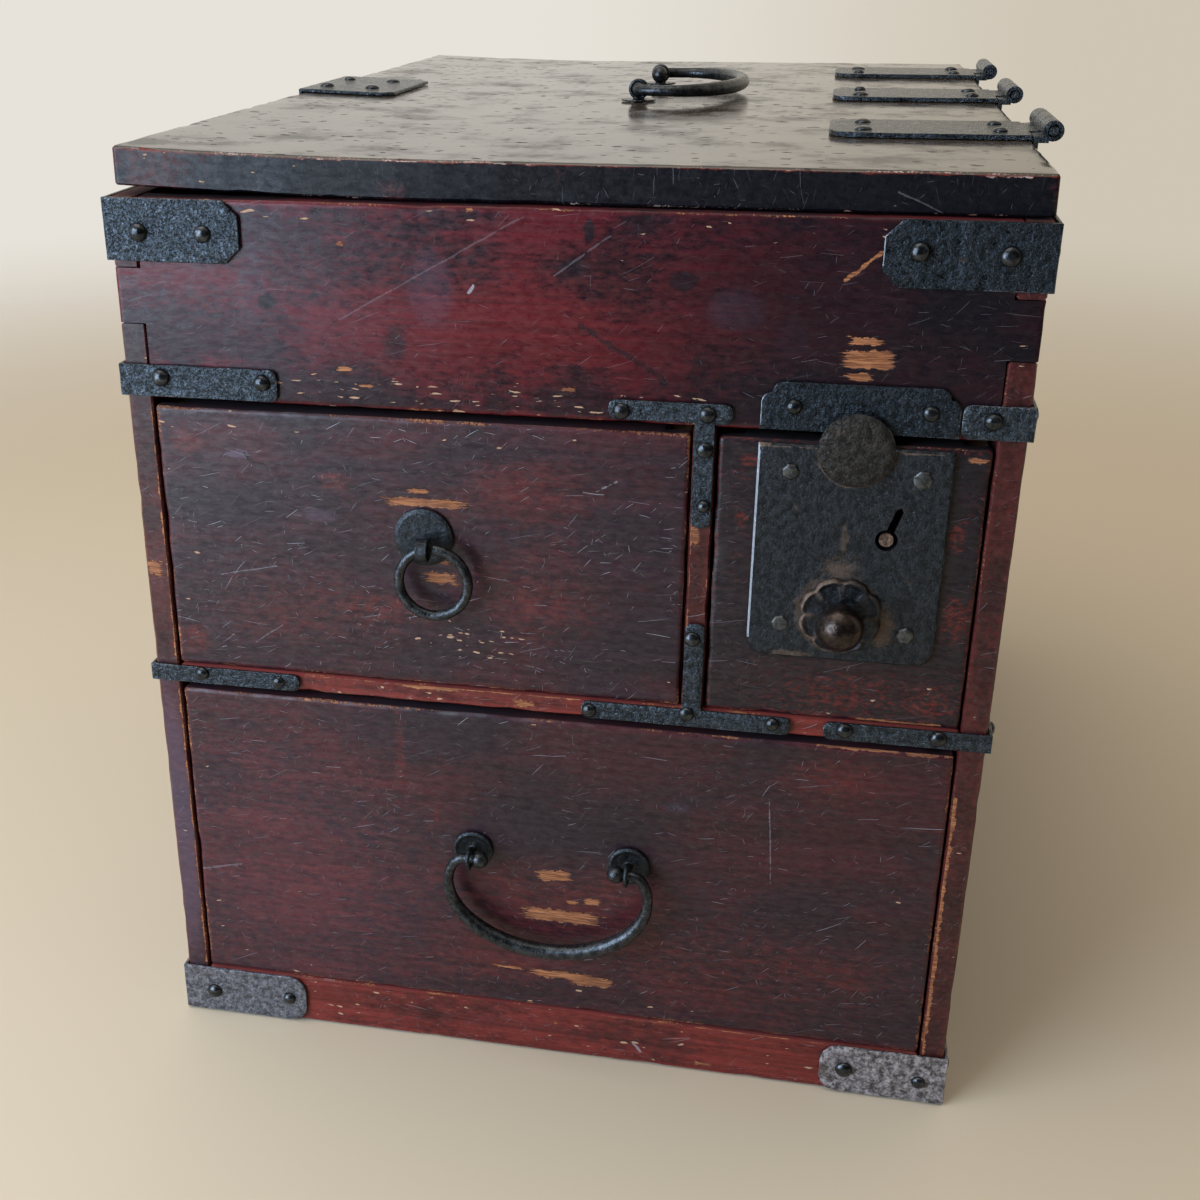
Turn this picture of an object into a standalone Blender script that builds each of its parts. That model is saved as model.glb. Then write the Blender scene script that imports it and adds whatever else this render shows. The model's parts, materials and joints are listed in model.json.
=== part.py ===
"""Calligraphy box: a lacquered wooden chest with iron fittings, a hinged lid and three drawers.

Metres, +Z up. The origin is the centre of the underside; the drawers face -Y and the lid hinges on +X.
"""

import math

import bmesh
import bpy
from mathutils import Vector

# Case
CASE_WIDTH = 0.242
CASE_DEPTH = 0.364
SIDE_THICKNESS = 0.0073
BACK_THICKNESS = 0.0073
BASE_THICKNESS = 0.0173
LOWER_BAY_HEIGHT = 0.1044
SHELF_THICKNESS = 0.006
UPPER_BAY_HEIGHT = 0.0822
UPPER_BOARD_HEIGHT = 0.0546
FRONT_BOARD_THICKNESS = 0.009
FLOOR_THICKNESS = 0.006
PARTITION_THICKNESS = 0.0062
LOCK_BAY_WIDTH = 0.0703
LOWER_FINGER_HEIGHT = 0.0205
BOARD_FINGER_HEIGHT = 0.0156
SEAT = 0.0003
EDGE_EASE = 0.0006

# Drawers
DRAWER_FRONT_THICKNESS = 0.009
DRAWER_SIDE_THICKNESS = 0.006
DRAWER_BACK_THICKNESS = 0.006
DRAWER_BOTTOM_THICKNESS = 0.004
DRAWER_REBATE = 0.0045
DRAWER_SIDE_CLEARANCE = 0.0006
DRAWER_TOP_CLEARANCE = 0.0023
DRAWER_END_CLEARANCE = 0.0005
DRAWER_SIDE_STEP = 0.0015
DRAWER_BOTTOM_LIFT = 0.0012

# Lid
LID_THICKNESS = 0.0103
LID_FRONT_SETBACK = 0.0035
LID_LEFT_INSET = 0.0009
LID_REST_GAP = 0.0004
LID_CURL_RISE = 0.002
LID_CURL_LENGTH = 0.09

# Irons on the case
IRON_THICKNESS = 0.001
IRON_EASE = 0.0002
CORNER_SIDE_LEG = 0.036
TOP_CORNER_HEIGHT = 0.0167
TOP_LEFT_CORNER_LEG = 0.0367
TOP_RIGHT_CORNER_LEG = 0.0395
TOP_CORNER_CLIP = 0.0042
BOTTOM_CORNER_RISE = 0.0003
BOTTOM_CORNER_HEIGHT = 0.0168
BOTTOM_LEFT_CORNER_LEG = 0.0407
BOTTOM_RIGHT_CORNER_LEG = 0.0364
BOTTOM_CORNER_CLIP = 0.0055
UPPER_STRAP_HEIGHT = 0.009
UPPER_STRAP_LIFT = 0.0006
UPPER_LEFT_STRAP_LEG = 0.0446
UPPER_RIGHT_STRAP_LEG = 0.0165
LOWER_STRAP_HEIGHT = 0.0054
LOWER_LEFT_STRAP_LEG = 0.0454
LOWER_RIGHT_STRAP_LEG = 0.0441
STRAP_SIDE_LEG = 0.034
STRAP_CLIP = 0.0021

# Irons on the partition
PARTITION_IRON_WIDTH = 0.0054
PARTITION_TOP_HEIGHT = 0.0054
PARTITION_TOP_LIFT = 0.001
PARTITION_TOP_LEFT_REACH = 0.0255
PARTITION_TOP_RIGHT_REACH = 0.0071
PARTITION_TOP_LEG = 0.0289
PARTITION_BOTTOM_LEFT_REACH = 0.0314
PARTITION_BOTTOM_RIGHT_REACH = 0.0277
PARTITION_BOTTOM_LEG = 0.0265
PARTITION_IRON_CLIP = 0.0022

# Lock
LOCK_OFFSET = 0.0007
LOCK_PLATE_WIDTH = 0.0498
LOCK_PLATE_HEIGHT = 0.0604
LOCK_PLATE_TOP_INSET = 0.0007
LOCK_PLATE_THICKNESS = 0.0014
LOCK_PLATE_BEVEL = 0.0006
LOCK_PLATE_CORNER = 0.0056
STRIKE_HEIGHT = 0.0128
STRIKE_LIFT = 0.0005
STRIKE_CORNER = 0.0055
STRIKE_LOBE = 0.0008
KEYHOLE_OFFSET = 0.0096
KEYHOLE_DROP = 0.0247
KEYHOLE_RADIUS = 0.0029
KEYHOLE_SLOT_LEAN = 0.0028
KEYHOLE_SLOT_LENGTH = 0.0082
KEYHOLE_SLOT_WIDTH = 0.002
KEY_POST_RADIUS = 0.0019
BOLT_TRAVEL = 0.006
BOLT_DISC_RADIUS = 0.0098
BOLT_DISC_THICKNESS = 0.0019
BOLT_DISC_DROP = 0.0005
BOLT_DISC_GAP = 0.0004
BOLT_STEM_WIDTH = 0.005
BOLT_STEM_HEIGHT = 0.004
BOLT_STEM_DROP = 0.0062
BOLT_TONGUE_WIDTH = 0.016
BOLT_TONGUE_THICKNESS = 0.003
BOLT_TONGUE_HEIGHT = 0.0176
BOLT_TONGUE_DEPTH = 0.0043
BOLT_TONGUE_INSET = 0.001
BOLT_CLEARANCE = 0.0004
LOCK_BACK_WIDTH = 0.034
LOCK_BACK_HEIGHT = 0.03
LOCK_BACK_DROP = 0.004
LOCK_BACK_THICKNESS = 0.001

# Drawer knob and its rosette
ROSETTE_DROP = 0.0468
ROSETTE_OFFSET = -0.0005
ROSETTE_RADIUS = 0.011
ROSETTE_HEIGHT = 0.0016
ROSETTE_PETALS = 8
ROSETTE_SCALLOP = 0.085
KNOB_RADIUS = 0.0059
KNOB_RISE = 0.0102
KNOB_NECK_RADIUS = 0.0025
SHANK_RADIUS = 0.0014
SHANK_CLEARANCE = 0.0003

# Ring pull
RING_OFFSET = 0.0029
RING_EYE_DROP = 0.0358
RING_ROUNDEL_RADIUS = 0.0085
RING_ROUNDEL_LIFT = 0.002
RING_ROUNDEL_SHIFT = -0.001
RING_ROUNDEL_THICKNESS = 0.0011
RING_RADIUS = 0.0099
RING_WIRE_RADIUS = 0.0015
RING_LEAN = 0.0027
RING_GAP_ANGLE = math.radians(9)
RING_GAP_TURN = math.radians(17.8)
RING_EYE_RISE = 0.0055
RING_EYE_WIDTH = 0.0034
RING_EYE_CLEARANCE = 0.0011
RING_EYE_WALL = 0.0007

# Eyes that carry the handles
EYE_RADIUS = 0.0029
EYE_WIRE_RADIUS = 0.0007
EYE_NECK_RADIUS = 0.0013

# Drawer bail
BAIL_OFFSET = 0.0002
BAIL_EYE_DROP = 0.046
BAIL_SPAN = 0.0475
BAIL_WIDTH = 0.0607
BAIL_DROP = 0.0304
BAIL_SHOULDER = 0.0085
BAIL_END = 0.0058
BAIL_END_WIRE_RADIUS = 0.00155
BAIL_WIRE_RADIUS = 0.0024
BAIL_BALL_RADIUS = 0.0027
BAIL_EYE_RISE = 0.006
BAIL_ROUNDEL_RADIUS = 0.0062
BAIL_ROUNDEL_THICKNESS = 0.0013

# Lid handle
LID_HANDLE_SETBACK = 0.203
LID_HANDLE_SPAN = 0.069
LID_HANDLE_WIDTH = 0.0805
LID_HANDLE_REACH = 0.0335
LID_HANDLE_SHOULDER = 0.0105
LID_HANDLE_END = 0.0072
LID_HANDLE_END_WIRE_RADIUS = 0.00185
LID_HANDLE_WIRE_RADIUS = 0.0024
LID_HANDLE_BALL_RADIUS = 0.003
LID_HANDLE_EYE_RISE = 0.004
LID_HANDLE_WASHER_RADIUS = 0.006
LID_HANDLE_WASHER_THICKNESS = 0.0005

# Lid edge strap
EDGE_STRAP_SETBACK = 0.162
EDGE_STRAP_WIDTH = 0.057
EDGE_STRAP_REACH = 0.033
EDGE_STRAP_CLIP = 0.004
EDGE_STRAP_FOLD = 0.0085

# Hinges
HINGE_FRONT_SETBACK = 0.087
HINGE_MIDDLE_SETBACK = 0.1965
HINGE_REAR_SETBACK = 0.2975
HINGE_WIDTH = 0.036
HINGE_STRAP_REACH = 0.055
HINGE_STRAP_TIP = 0.009
HINGE_THICKNESS = 0.0013
HINGE_LEAF_DROP = 0.04
HINGE_WEB_SHARE = 0.35
HINGE_WEB_DROP = 0.0004
BARREL_OFFSET = 0.0053
BARREL_RADIUS = 0.0028
BARREL_BORE_CLEARANCE = 0.0003
HINGE_PIN_RADIUS = 0.0013
HINGE_PIN_PROUD = 0.0005
KNUCKLE_SHARE = 0.285
KNUCKLE_GAP = 0.0004

# Planes that follow from the sizes above
HALF_WIDTH = CASE_WIDTH / 2
FRONT = -CASE_DEPTH / 2
BACK = CASE_DEPTH / 2
INNER = HALF_WIDTH - SIDE_THICKNESS
BACK_INNER = BACK - BACK_THICKNESS
SHELF_LOW = BASE_THICKNESS + LOWER_BAY_HEIGHT
SHELF_TOP = SHELF_LOW + SHELF_THICKNESS
RAIL_LOW = SHELF_TOP + UPPER_BAY_HEIGHT
CASE_TOP = RAIL_LOW + UPPER_BOARD_HEIGHT
PARTITION_RIGHT = INNER - LOCK_BAY_WIDTH
PARTITION_LEFT = PARTITION_RIGHT - PARTITION_THICKNESS
PARTITION_X = (PARTITION_LEFT + PARTITION_RIGHT) / 2
UPPER_DRAWER_TOP = RAIL_LOW - DRAWER_TOP_CLEARANCE
LOWER_DRAWER_TOP = SHELF_LOW - DRAWER_TOP_CLEARANCE
LID_LOW = CASE_TOP + LID_REST_GAP
LID_TOP = LID_LOW + LID_THICKNESS
LID_LEFT = -HALF_WIDTH + LID_LEFT_INSET
HINGE_AXIS_X = HALF_WIDTH + BARREL_OFFSET
HINGE_AXIS_Z = LID_TOP + BARREL_RADIUS
LOCK_X = PARTITION_RIGHT + LOCK_BAY_WIDTH / 2 + LOCK_OFFSET
LOCK_PLATE_TOP = UPPER_DRAWER_TOP - LOCK_PLATE_TOP_INSET
PLATE_FACE = FRONT - SEAT - LOCK_PLATE_THICKNESS
BOLT_Z = LOCK_PLATE_TOP - BOLT_DISC_DROP
STEM_Z = BOLT_Z - BOLT_STEM_DROP
KEYHOLE_X = LOCK_X + KEYHOLE_OFFSET
KEYHOLE_Z = LOCK_PLATE_TOP - KEYHOLE_DROP
ROSETTE_Z = LOCK_PLATE_TOP - ROSETTE_DROP
KNOB_X = LOCK_X + ROSETTE_OFFSET
RING_X = (PARTITION_LEFT - INNER) / 2 + RING_OFFSET
RING_Z = UPPER_DRAWER_TOP - RING_EYE_DROP
BAIL_Z = LOWER_DRAWER_TOP - BAIL_EYE_DROP
HANDLE_Y = FRONT + LID_HANDLE_SETBACK
HANDLE_Z = LID_TOP + LID_HANDLE_EYE_RISE

# Finishes: colour, roughness, metallic
LACQUER_RED = ((0.115, 0.030, 0.020, 1.0), 0.42, 0.0)
LACQUER_DARK = ((0.045, 0.020, 0.017, 1.0), 0.38, 0.0)
LACQUER_BROWN = ((0.130, 0.055, 0.030, 1.0), 0.45, 0.0)
BARE_WOOD = ((0.330, 0.190, 0.095, 1.0), 0.70, 0.0)
LID_LACQUER = ((0.095, 0.070, 0.060, 1.0), 0.35, 0.0)
IRON = ((0.045, 0.046, 0.052, 1.0), 0.48, 0.85)
WORN_IRON = ((0.110, 0.105, 0.105, 1.0), 0.45, 0.90)
KNOB_IRON = ((0.060, 0.045, 0.038, 1.0), 0.40, 0.80)

FACING_FRONT = (math.pi / 2, 0.0, 0.0)
FACING_RIGHT = (math.pi / 2, 0.0, math.pi / 2)
FACING_UP = (0.0, 0.0, 0.0)
ALONG_X = (0.0, math.pi / 2, 0.0)
ALONG_Y = (math.pi / 2, 0.0, 0.0)


def new_collection(name):
    """Make a collection under the scene and return it."""
    group = bpy.data.collections.new(name)
    bpy.context.scene.collection.children.link(group)
    return group


for old in list(bpy.data.objects):
    bpy.data.objects.remove(old)

BOX = new_collection("calligraphy_box")
CUTTERS = new_collection("cutters")


def world_place(frame):
    """Return where an unturned parent empty stands in the world."""
    place = Vector((0.0, 0.0, 0.0))
    while frame is not None:
        place = place + frame.location
        frame = frame.parent
    return place


def axis_frame(name, place, parent=None):
    """Make a parent empty on a joint axis."""
    frame = bpy.data.objects.new(name, None)
    frame.parent = parent
    frame.location = Vector(place) - world_place(parent)
    BOX.objects.link(frame)
    return frame


def paint(piece, finish):
    """Give a piece its own Principled material."""
    colour, roughness, metallic = finish
    material = bpy.data.materials.new(piece.name + "_finish")
    material.use_nodes = True
    surface = material.node_tree.nodes["Principled BSDF"]
    surface.inputs["Base Color"].default_value = colour
    surface.inputs["Roughness"].default_value = roughness
    surface.inputs["Metallic"].default_value = metallic
    material.diffuse_color = colour
    piece.data.materials.append(material)


def add_piece(name, mesh, place, finish, parent=None, turn=FACING_UP):
    """Put a finished mesh into the box as a named piece."""
    piece = bpy.data.objects.new(name, mesh)
    piece.parent = parent
    piece.location = Vector(place) - world_place(parent)
    piece.rotation_euler = turn
    BOX.objects.link(piece)
    paint(piece, finish)
    return piece


def add_tool(name, mesh, place, turn=FACING_UP, parent=None):
    """Put a mesh into the cutters as the second shape of a Boolean."""
    tool = bpy.data.objects.new(name, mesh)
    tool.parent = parent
    tool.location = Vector(place) - world_place(parent)
    tool.rotation_euler = turn
    tool.hide_render = True
    tool.display_type = "WIRE"
    CUTTERS.objects.link(tool)
    return tool


def combine(piece, tool, operation):
    """Cut a tool from a piece or join it on."""
    step = piece.modifiers.new(operation.lower() + "_" + tool.name, "BOOLEAN")
    step.operation = operation
    step.solver = "EXACT"
    step.object = tool


def ease(piece, width):
    """Take the sharpness off the edges of a piece."""
    step = piece.modifiers.new("eased_edges", "BEVEL")
    step.width = width
    step.segments = 1
    step.limit_method = "ANGLE"
    step.angle_limit = math.radians(50)


def finish_mesh(shell, mesh):
    """Write a shell back into its mesh with its normals outward."""
    bmesh.ops.recalc_face_normals(shell, faces=shell.faces)
    shell.to_mesh(mesh)
    shell.free()
    return mesh


def block_mesh(name, size):
    """Return a box centred on its origin."""
    mesh = bpy.data.meshes.new(name)
    shell = bmesh.new()
    bmesh.ops.create_cube(shell, size=1.0)
    bmesh.ops.scale(shell, vec=size, verts=shell.verts)
    return finish_mesh(shell, mesh)


def rod_mesh(name, radius, length, sides=24):
    """Return a round rod along Z centred on its origin."""
    mesh = bpy.data.meshes.new(name)
    shell = bmesh.new()
    bmesh.ops.create_cone(
        shell, cap_ends=True, segments=sides, radius1=radius, radius2=radius, depth=length
    )
    finish_mesh(shell, mesh)
    for face in mesh.polygons:
        face.use_smooth = len(face.vertices) == 4
    return mesh


def board(name, low, high, finish, parent=None):
    """Add a plain board between two opposite corners."""
    low = Vector(low)
    high = Vector(high)
    piece = add_piece(name, block_mesh(name, high - low), (low + high) / 2, finish, parent)
    ease(piece, EDGE_EASE)
    return piece


def cut_block(piece, name, low, high, parent=None):
    """Cut the box between two corners out of a piece."""
    low = Vector(low)
    high = Vector(high)
    tool = add_tool(name, block_mesh(name, high - low), (low + high) / 2, FACING_UP, parent)
    combine(piece, tool, "DIFFERENCE")


def cut_bore(piece, name, centre, radius, length, turn, parent=None):
    """Drill a round hole through a piece."""
    tool = add_tool(name, rod_mesh(name, radius, length), centre, turn, parent)
    combine(piece, tool, "DIFFERENCE")


def mesh_of_curve(curve, merge_flats):
    """Turn a curve into a welded closed mesh."""
    holder = bpy.data.objects.new(curve.name, curve)
    BOX.objects.link(holder)
    depsgraph = bpy.context.evaluated_depsgraph_get()
    mesh = bpy.data.meshes.new_from_object(holder.evaluated_get(depsgraph))
    bpy.data.objects.remove(holder)
    bpy.data.curves.remove(curve)
    shell = bmesh.new()
    shell.from_mesh(mesh)
    bmesh.ops.remove_doubles(shell, verts=shell.verts, dist=0.000005)
    if merge_flats:
        bmesh.ops.dissolve_limit(
            shell, angle_limit=0.01, verts=shell.verts, edges=shell.edges
        )
    return finish_mesh(shell, mesh)


def flat_mesh(name, outline, thickness, bevel=0.0):
    """Return a flat piece cut to an outline, its thickness along Z, its edges bevelled if asked."""
    curve = bpy.data.curves.new(name, "CURVE")
    curve.dimensions = "2D"
    curve.fill_mode = "BOTH"
    curve.extrude = thickness / 2 - bevel
    curve.bevel_depth = bevel
    curve.bevel_resolution = 0
    curve.offset = -bevel
    spline = curve.splines.new("POLY")
    spline.points.add(len(outline) - 1)
    for point, (across, along) in zip(spline.points, outline):
        point.co = (across, along, 0.0, 1.0)
    spline.use_cyclic_u = True
    return mesh_of_curve(curve, bevel == 0.0)


def cut_corners(corners, steps):
    """Return an outline whose corners (x, y, cut) are rounded, or clipped straight with one step."""
    outline = []
    for index, (across, along, cut) in enumerate(corners):
        corner = Vector((across, along))
        if cut == 0.0:
            outline.append((across, along))
            continue
        before = Vector(corners[index - 1][:2])
        after = Vector(corners[(index + 1) % len(corners)][:2])
        start = corner + (before - corner).normalized() * cut
        end = corner + (after - corner).normalized() * cut
        for step in range(steps + 1):
            part = step / steps
            near = start.lerp(corner, part)
            far = corner.lerp(end, part)
            spot = near.lerp(far, part)
            outline.append((spot.x, spot.y))
    return outline


def lobed_corner(start, end, bulge, steps):
    """Return the points between two ends of a corner cut to two round lobes with a cusp between them."""
    start = Vector(start)
    chord = Vector(end) - start
    outward = Vector((chord.y, -chord.x)).normalized()
    spots = []
    for step in range(steps * 2 + 1):
        part = step / (steps * 2)
        spot = start + chord * part + outward * bulge * abs(math.sin(2 * math.pi * part))
        spots.append((spot.x, spot.y, 0.0))
    return spots


def turned_mesh(name, profile, ring=False):
    """Return the half section of a turned piece as (radius, height) points from the top down."""
    mesh = bpy.data.meshes.new(name)
    points = [(radius, 0.0, height) for radius, height in profile]
    links = [(index, index + 1) for index in range(len(points) - 1)]
    if ring:
        links.append((len(points) - 1, 0))
    mesh.from_pydata(points, links, [])
    return mesh


def turn_round(piece, steps):
    """Spin the half section of a piece about its Z axis."""
    screw = piece.modifiers.new("turning", "SCREW")
    screw.axis = "Z"
    screw.steps = steps
    screw.render_steps = steps
    screw.use_merge_vertices = True
    screw.merge_threshold = 0.00001
    screw.use_smooth_shade = True


def ring_section(radius, wire):
    """Return the round section of an eye from the top, round the outside and back."""
    section = []
    for step in range(10):
        angle = math.pi / 2 - 2 * math.pi * step / 10
        section.append((radius + wire * math.cos(angle), wire * math.sin(angle)))
    return section


def wire_mesh(name, points, radii):
    """Return a round wire along points, with its own radius at each."""
    thickest = max(radii)
    curve = bpy.data.curves.new(name, "CURVE")
    curve.dimensions = "3D"
    curve.bevel_depth = thickest
    curve.bevel_resolution = 3
    curve.use_fill_caps = True
    spline = curve.splines.new("POLY")
    spline.points.add(len(points) - 1)
    for point, place, radius in zip(spline.points, points, radii):
        point.co = (place[0], place[1], place[2], 1.0)
        point.radius = radius / thickest
    spline.use_smooth = True
    mesh = mesh_of_curve(curve, False)
    for face in mesh.polygons:
        face.use_smooth = len(face.vertices) <= 4
    return mesh


def join_eye(piece, name, centre, turn, parent):
    """Join a forged eye on to a post."""
    tool = add_tool(
        name, turned_mesh(name, ring_section(EYE_RADIUS, EYE_WIRE_RADIUS), True), centre, turn, parent
    )
    turn_round(tool, 18)
    combine(piece, tool, "UNION")


def bail_path(span, width, drop, shoulder, end, ball, end_wire, wire):
    """Return the points (along the axis, away from it) and radii of a swinging handle."""
    half = []
    inner = span / 2 - end
    meet = math.pi - math.asin(end_wire / ball)
    for step in range(7):
        angle = 0.25 + (meet - 0.25) * step / 6
        half.append((inner + ball * (1 - math.cos(angle)), 0.0, ball * math.sin(angle)))
    bend = span / 2 + EYE_WIRE_RADIUS + end_wire / 2
    half.append((bend, 0.0, end_wire))
    for step in range(1, 7):
        angle = math.pi / 2 * step / 6
        along = bend + (width / 2 - bend) * math.sin(angle)
        half.append((along, shoulder * (1 - math.cos(angle)), end_wire))
    for step in range(1, 11):
        angle = math.pi / 2 * step / 10
        away = shoulder + (drop - shoulder) * math.sin(angle)
        radius = end_wire + (wire - end_wire) * min(1.0, 1.25 * step / 10)
        half.append((width / 2 * math.cos(angle), away, radius))
    left = [(-along, away, radius) for along, away, radius in half]
    return left + list(reversed(half[:-1]))


def corner_iron(name, side, low, height, front_leg, side_leg, clip, steps, finish):
    """Add an iron folded round a front corner of the case; side is -1 on the left and 1 on the right."""
    near = SEAT
    far = SEAT + IRON_THICKNESS
    corners = [
        (-front_leg, -far),
        (far, -far),
        (far, side_leg),
        (near, side_leg),
        (near, -near),
        (-front_leg, -near),
    ]
    outline = [(side * across, along) for across, along in corners]
    mesh = flat_mesh(name, outline, height)
    shell = bmesh.new()
    shell.from_mesh(mesh)
    tips = []
    for edge in shell.edges:
        one, two = (vert.co for vert in edge.verts)
        level = abs(one.z - two.z) < 0.00001
        on_front_tip = max(abs(one.x + side * front_leg), abs(two.x + side * front_leg)) < 0.00001
        on_side_tip = max(abs(one.y - side_leg), abs(two.y - side_leg)) < 0.00001
        if level and (on_front_tip or on_side_tip):
            tips.append(edge)
    bmesh.ops.bevel(
        shell, geom=tips, offset=clip, segments=steps, affect="EDGES", profile=0.5
    )
    finish_mesh(shell, mesh)
    place = (side * HALF_WIDTH, FRONT, low + height / 2)
    piece = add_piece(name, mesh, place, finish)
    ease(piece, IRON_EASE)
    return piece


def front_iron(name, corners, steps, finish):
    """Add a flat iron nailed to the front; its corners are (x, z, cut) in the front plane."""
    outline = cut_corners(corners, steps)
    mesh = flat_mesh(name, outline, IRON_THICKNESS, IRON_EASE)
    place = (0.0, FRONT - SEAT - IRON_THICKNESS / 2, 0.0)
    return add_piece(name, mesh, place, finish, None, FACING_FRONT)


def build_case():
    """Add the boards of the case."""
    finger_low = RAIL_LOW + LOWER_FINGER_HEIGHT
    finger_high = finger_low + BOARD_FINGER_HEIGHT
    notch = FRONT + FRONT_BOARD_THICKNESS + SEAT
    outline = [
        (FRONT, 0.0),
        (BACK, 0.0),
        (BACK, CASE_TOP),
        (FRONT, CASE_TOP),
        (FRONT, finger_high),
        (notch, finger_high),
        (notch, finger_low),
        (FRONT, finger_low),
    ]
    for name, side in (("left_side", -1), ("right_side", 1)):
        mesh = flat_mesh(name, outline, SIDE_THICKNESS, EDGE_EASE)
        place = (side * (HALF_WIDTH - SIDE_THICKNESS / 2), 0.0, 0.0)
        add_piece(name, mesh, place, LACQUER_BROWN, None, FACING_RIGHT)
    inner = INNER - SEAT
    low = finger_low + SEAT
    high = finger_high - SEAT
    rail = board(
        "upper_front_board",
        (-HALF_WIDTH, FRONT, RAIL_LOW),
        (HALF_WIDTH, FRONT + FRONT_BOARD_THICKNESS, CASE_TOP),
        LACQUER_RED,
    )
    for label, side in (("left", -1), ("right", 1)):
        for name, start, end in (
            ("low_shoulder_", RAIL_LOW - SIDE_THICKNESS, low),
            ("high_shoulder_", high, CASE_TOP + SIDE_THICKNESS),
        ):
            near, far = sorted((side * inner, side * (HALF_WIDTH + SIDE_THICKNESS)))
            cut_block(
                rail,
                name + label,
                (near, FRONT - FRONT_BOARD_THICKNESS, start),
                (far, FRONT + FRONT_BOARD_THICKNESS * 2, end),
            )
    reach = BOLT_TONGUE_WIDTH / 2 + BOLT_CLEARANCE
    lift = BOLT_TRAVEL - DRAWER_TOP_CLEARANCE - BOLT_TONGUE_INSET + BOLT_CLEARANCE
    tongue_y = FRONT + BOLT_TONGUE_DEPTH
    cut_block(
        rail,
        "bolt_mortise",
        (LOCK_X - reach, tongue_y - BOLT_CLEARANCE, RAIL_LOW - FLOOR_THICKNESS),
        (LOCK_X + reach, tongue_y + BOLT_TONGUE_THICKNESS + BOLT_CLEARANCE, RAIL_LOW + lift),
    )
    board("back_panel", (-inner, BACK_INNER, 0.0), (inner, BACK, CASE_TOP), LACQUER_BROWN)
    rear = BACK_INNER - SEAT
    board("base_board", (-inner, FRONT, 0.0), (inner, rear, BASE_THICKNESS), LACQUER_RED)
    board("drawer_shelf", (-inner, FRONT, SHELF_LOW), (inner, rear, SHELF_TOP), LACQUER_RED)
    board(
        "drawer_partition",
        (PARTITION_LEFT, FRONT, SHELF_TOP + SEAT),
        (PARTITION_RIGHT, rear, RAIL_LOW - SEAT),
        LACQUER_BROWN,
    )
    floor_low = RAIL_LOW + SEAT
    board(
        "compartment_floor",
        (-inner, notch, floor_low),
        (inner, rear, floor_low + FLOOR_THICKNESS),
        BARE_WOOD,
    )


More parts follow.
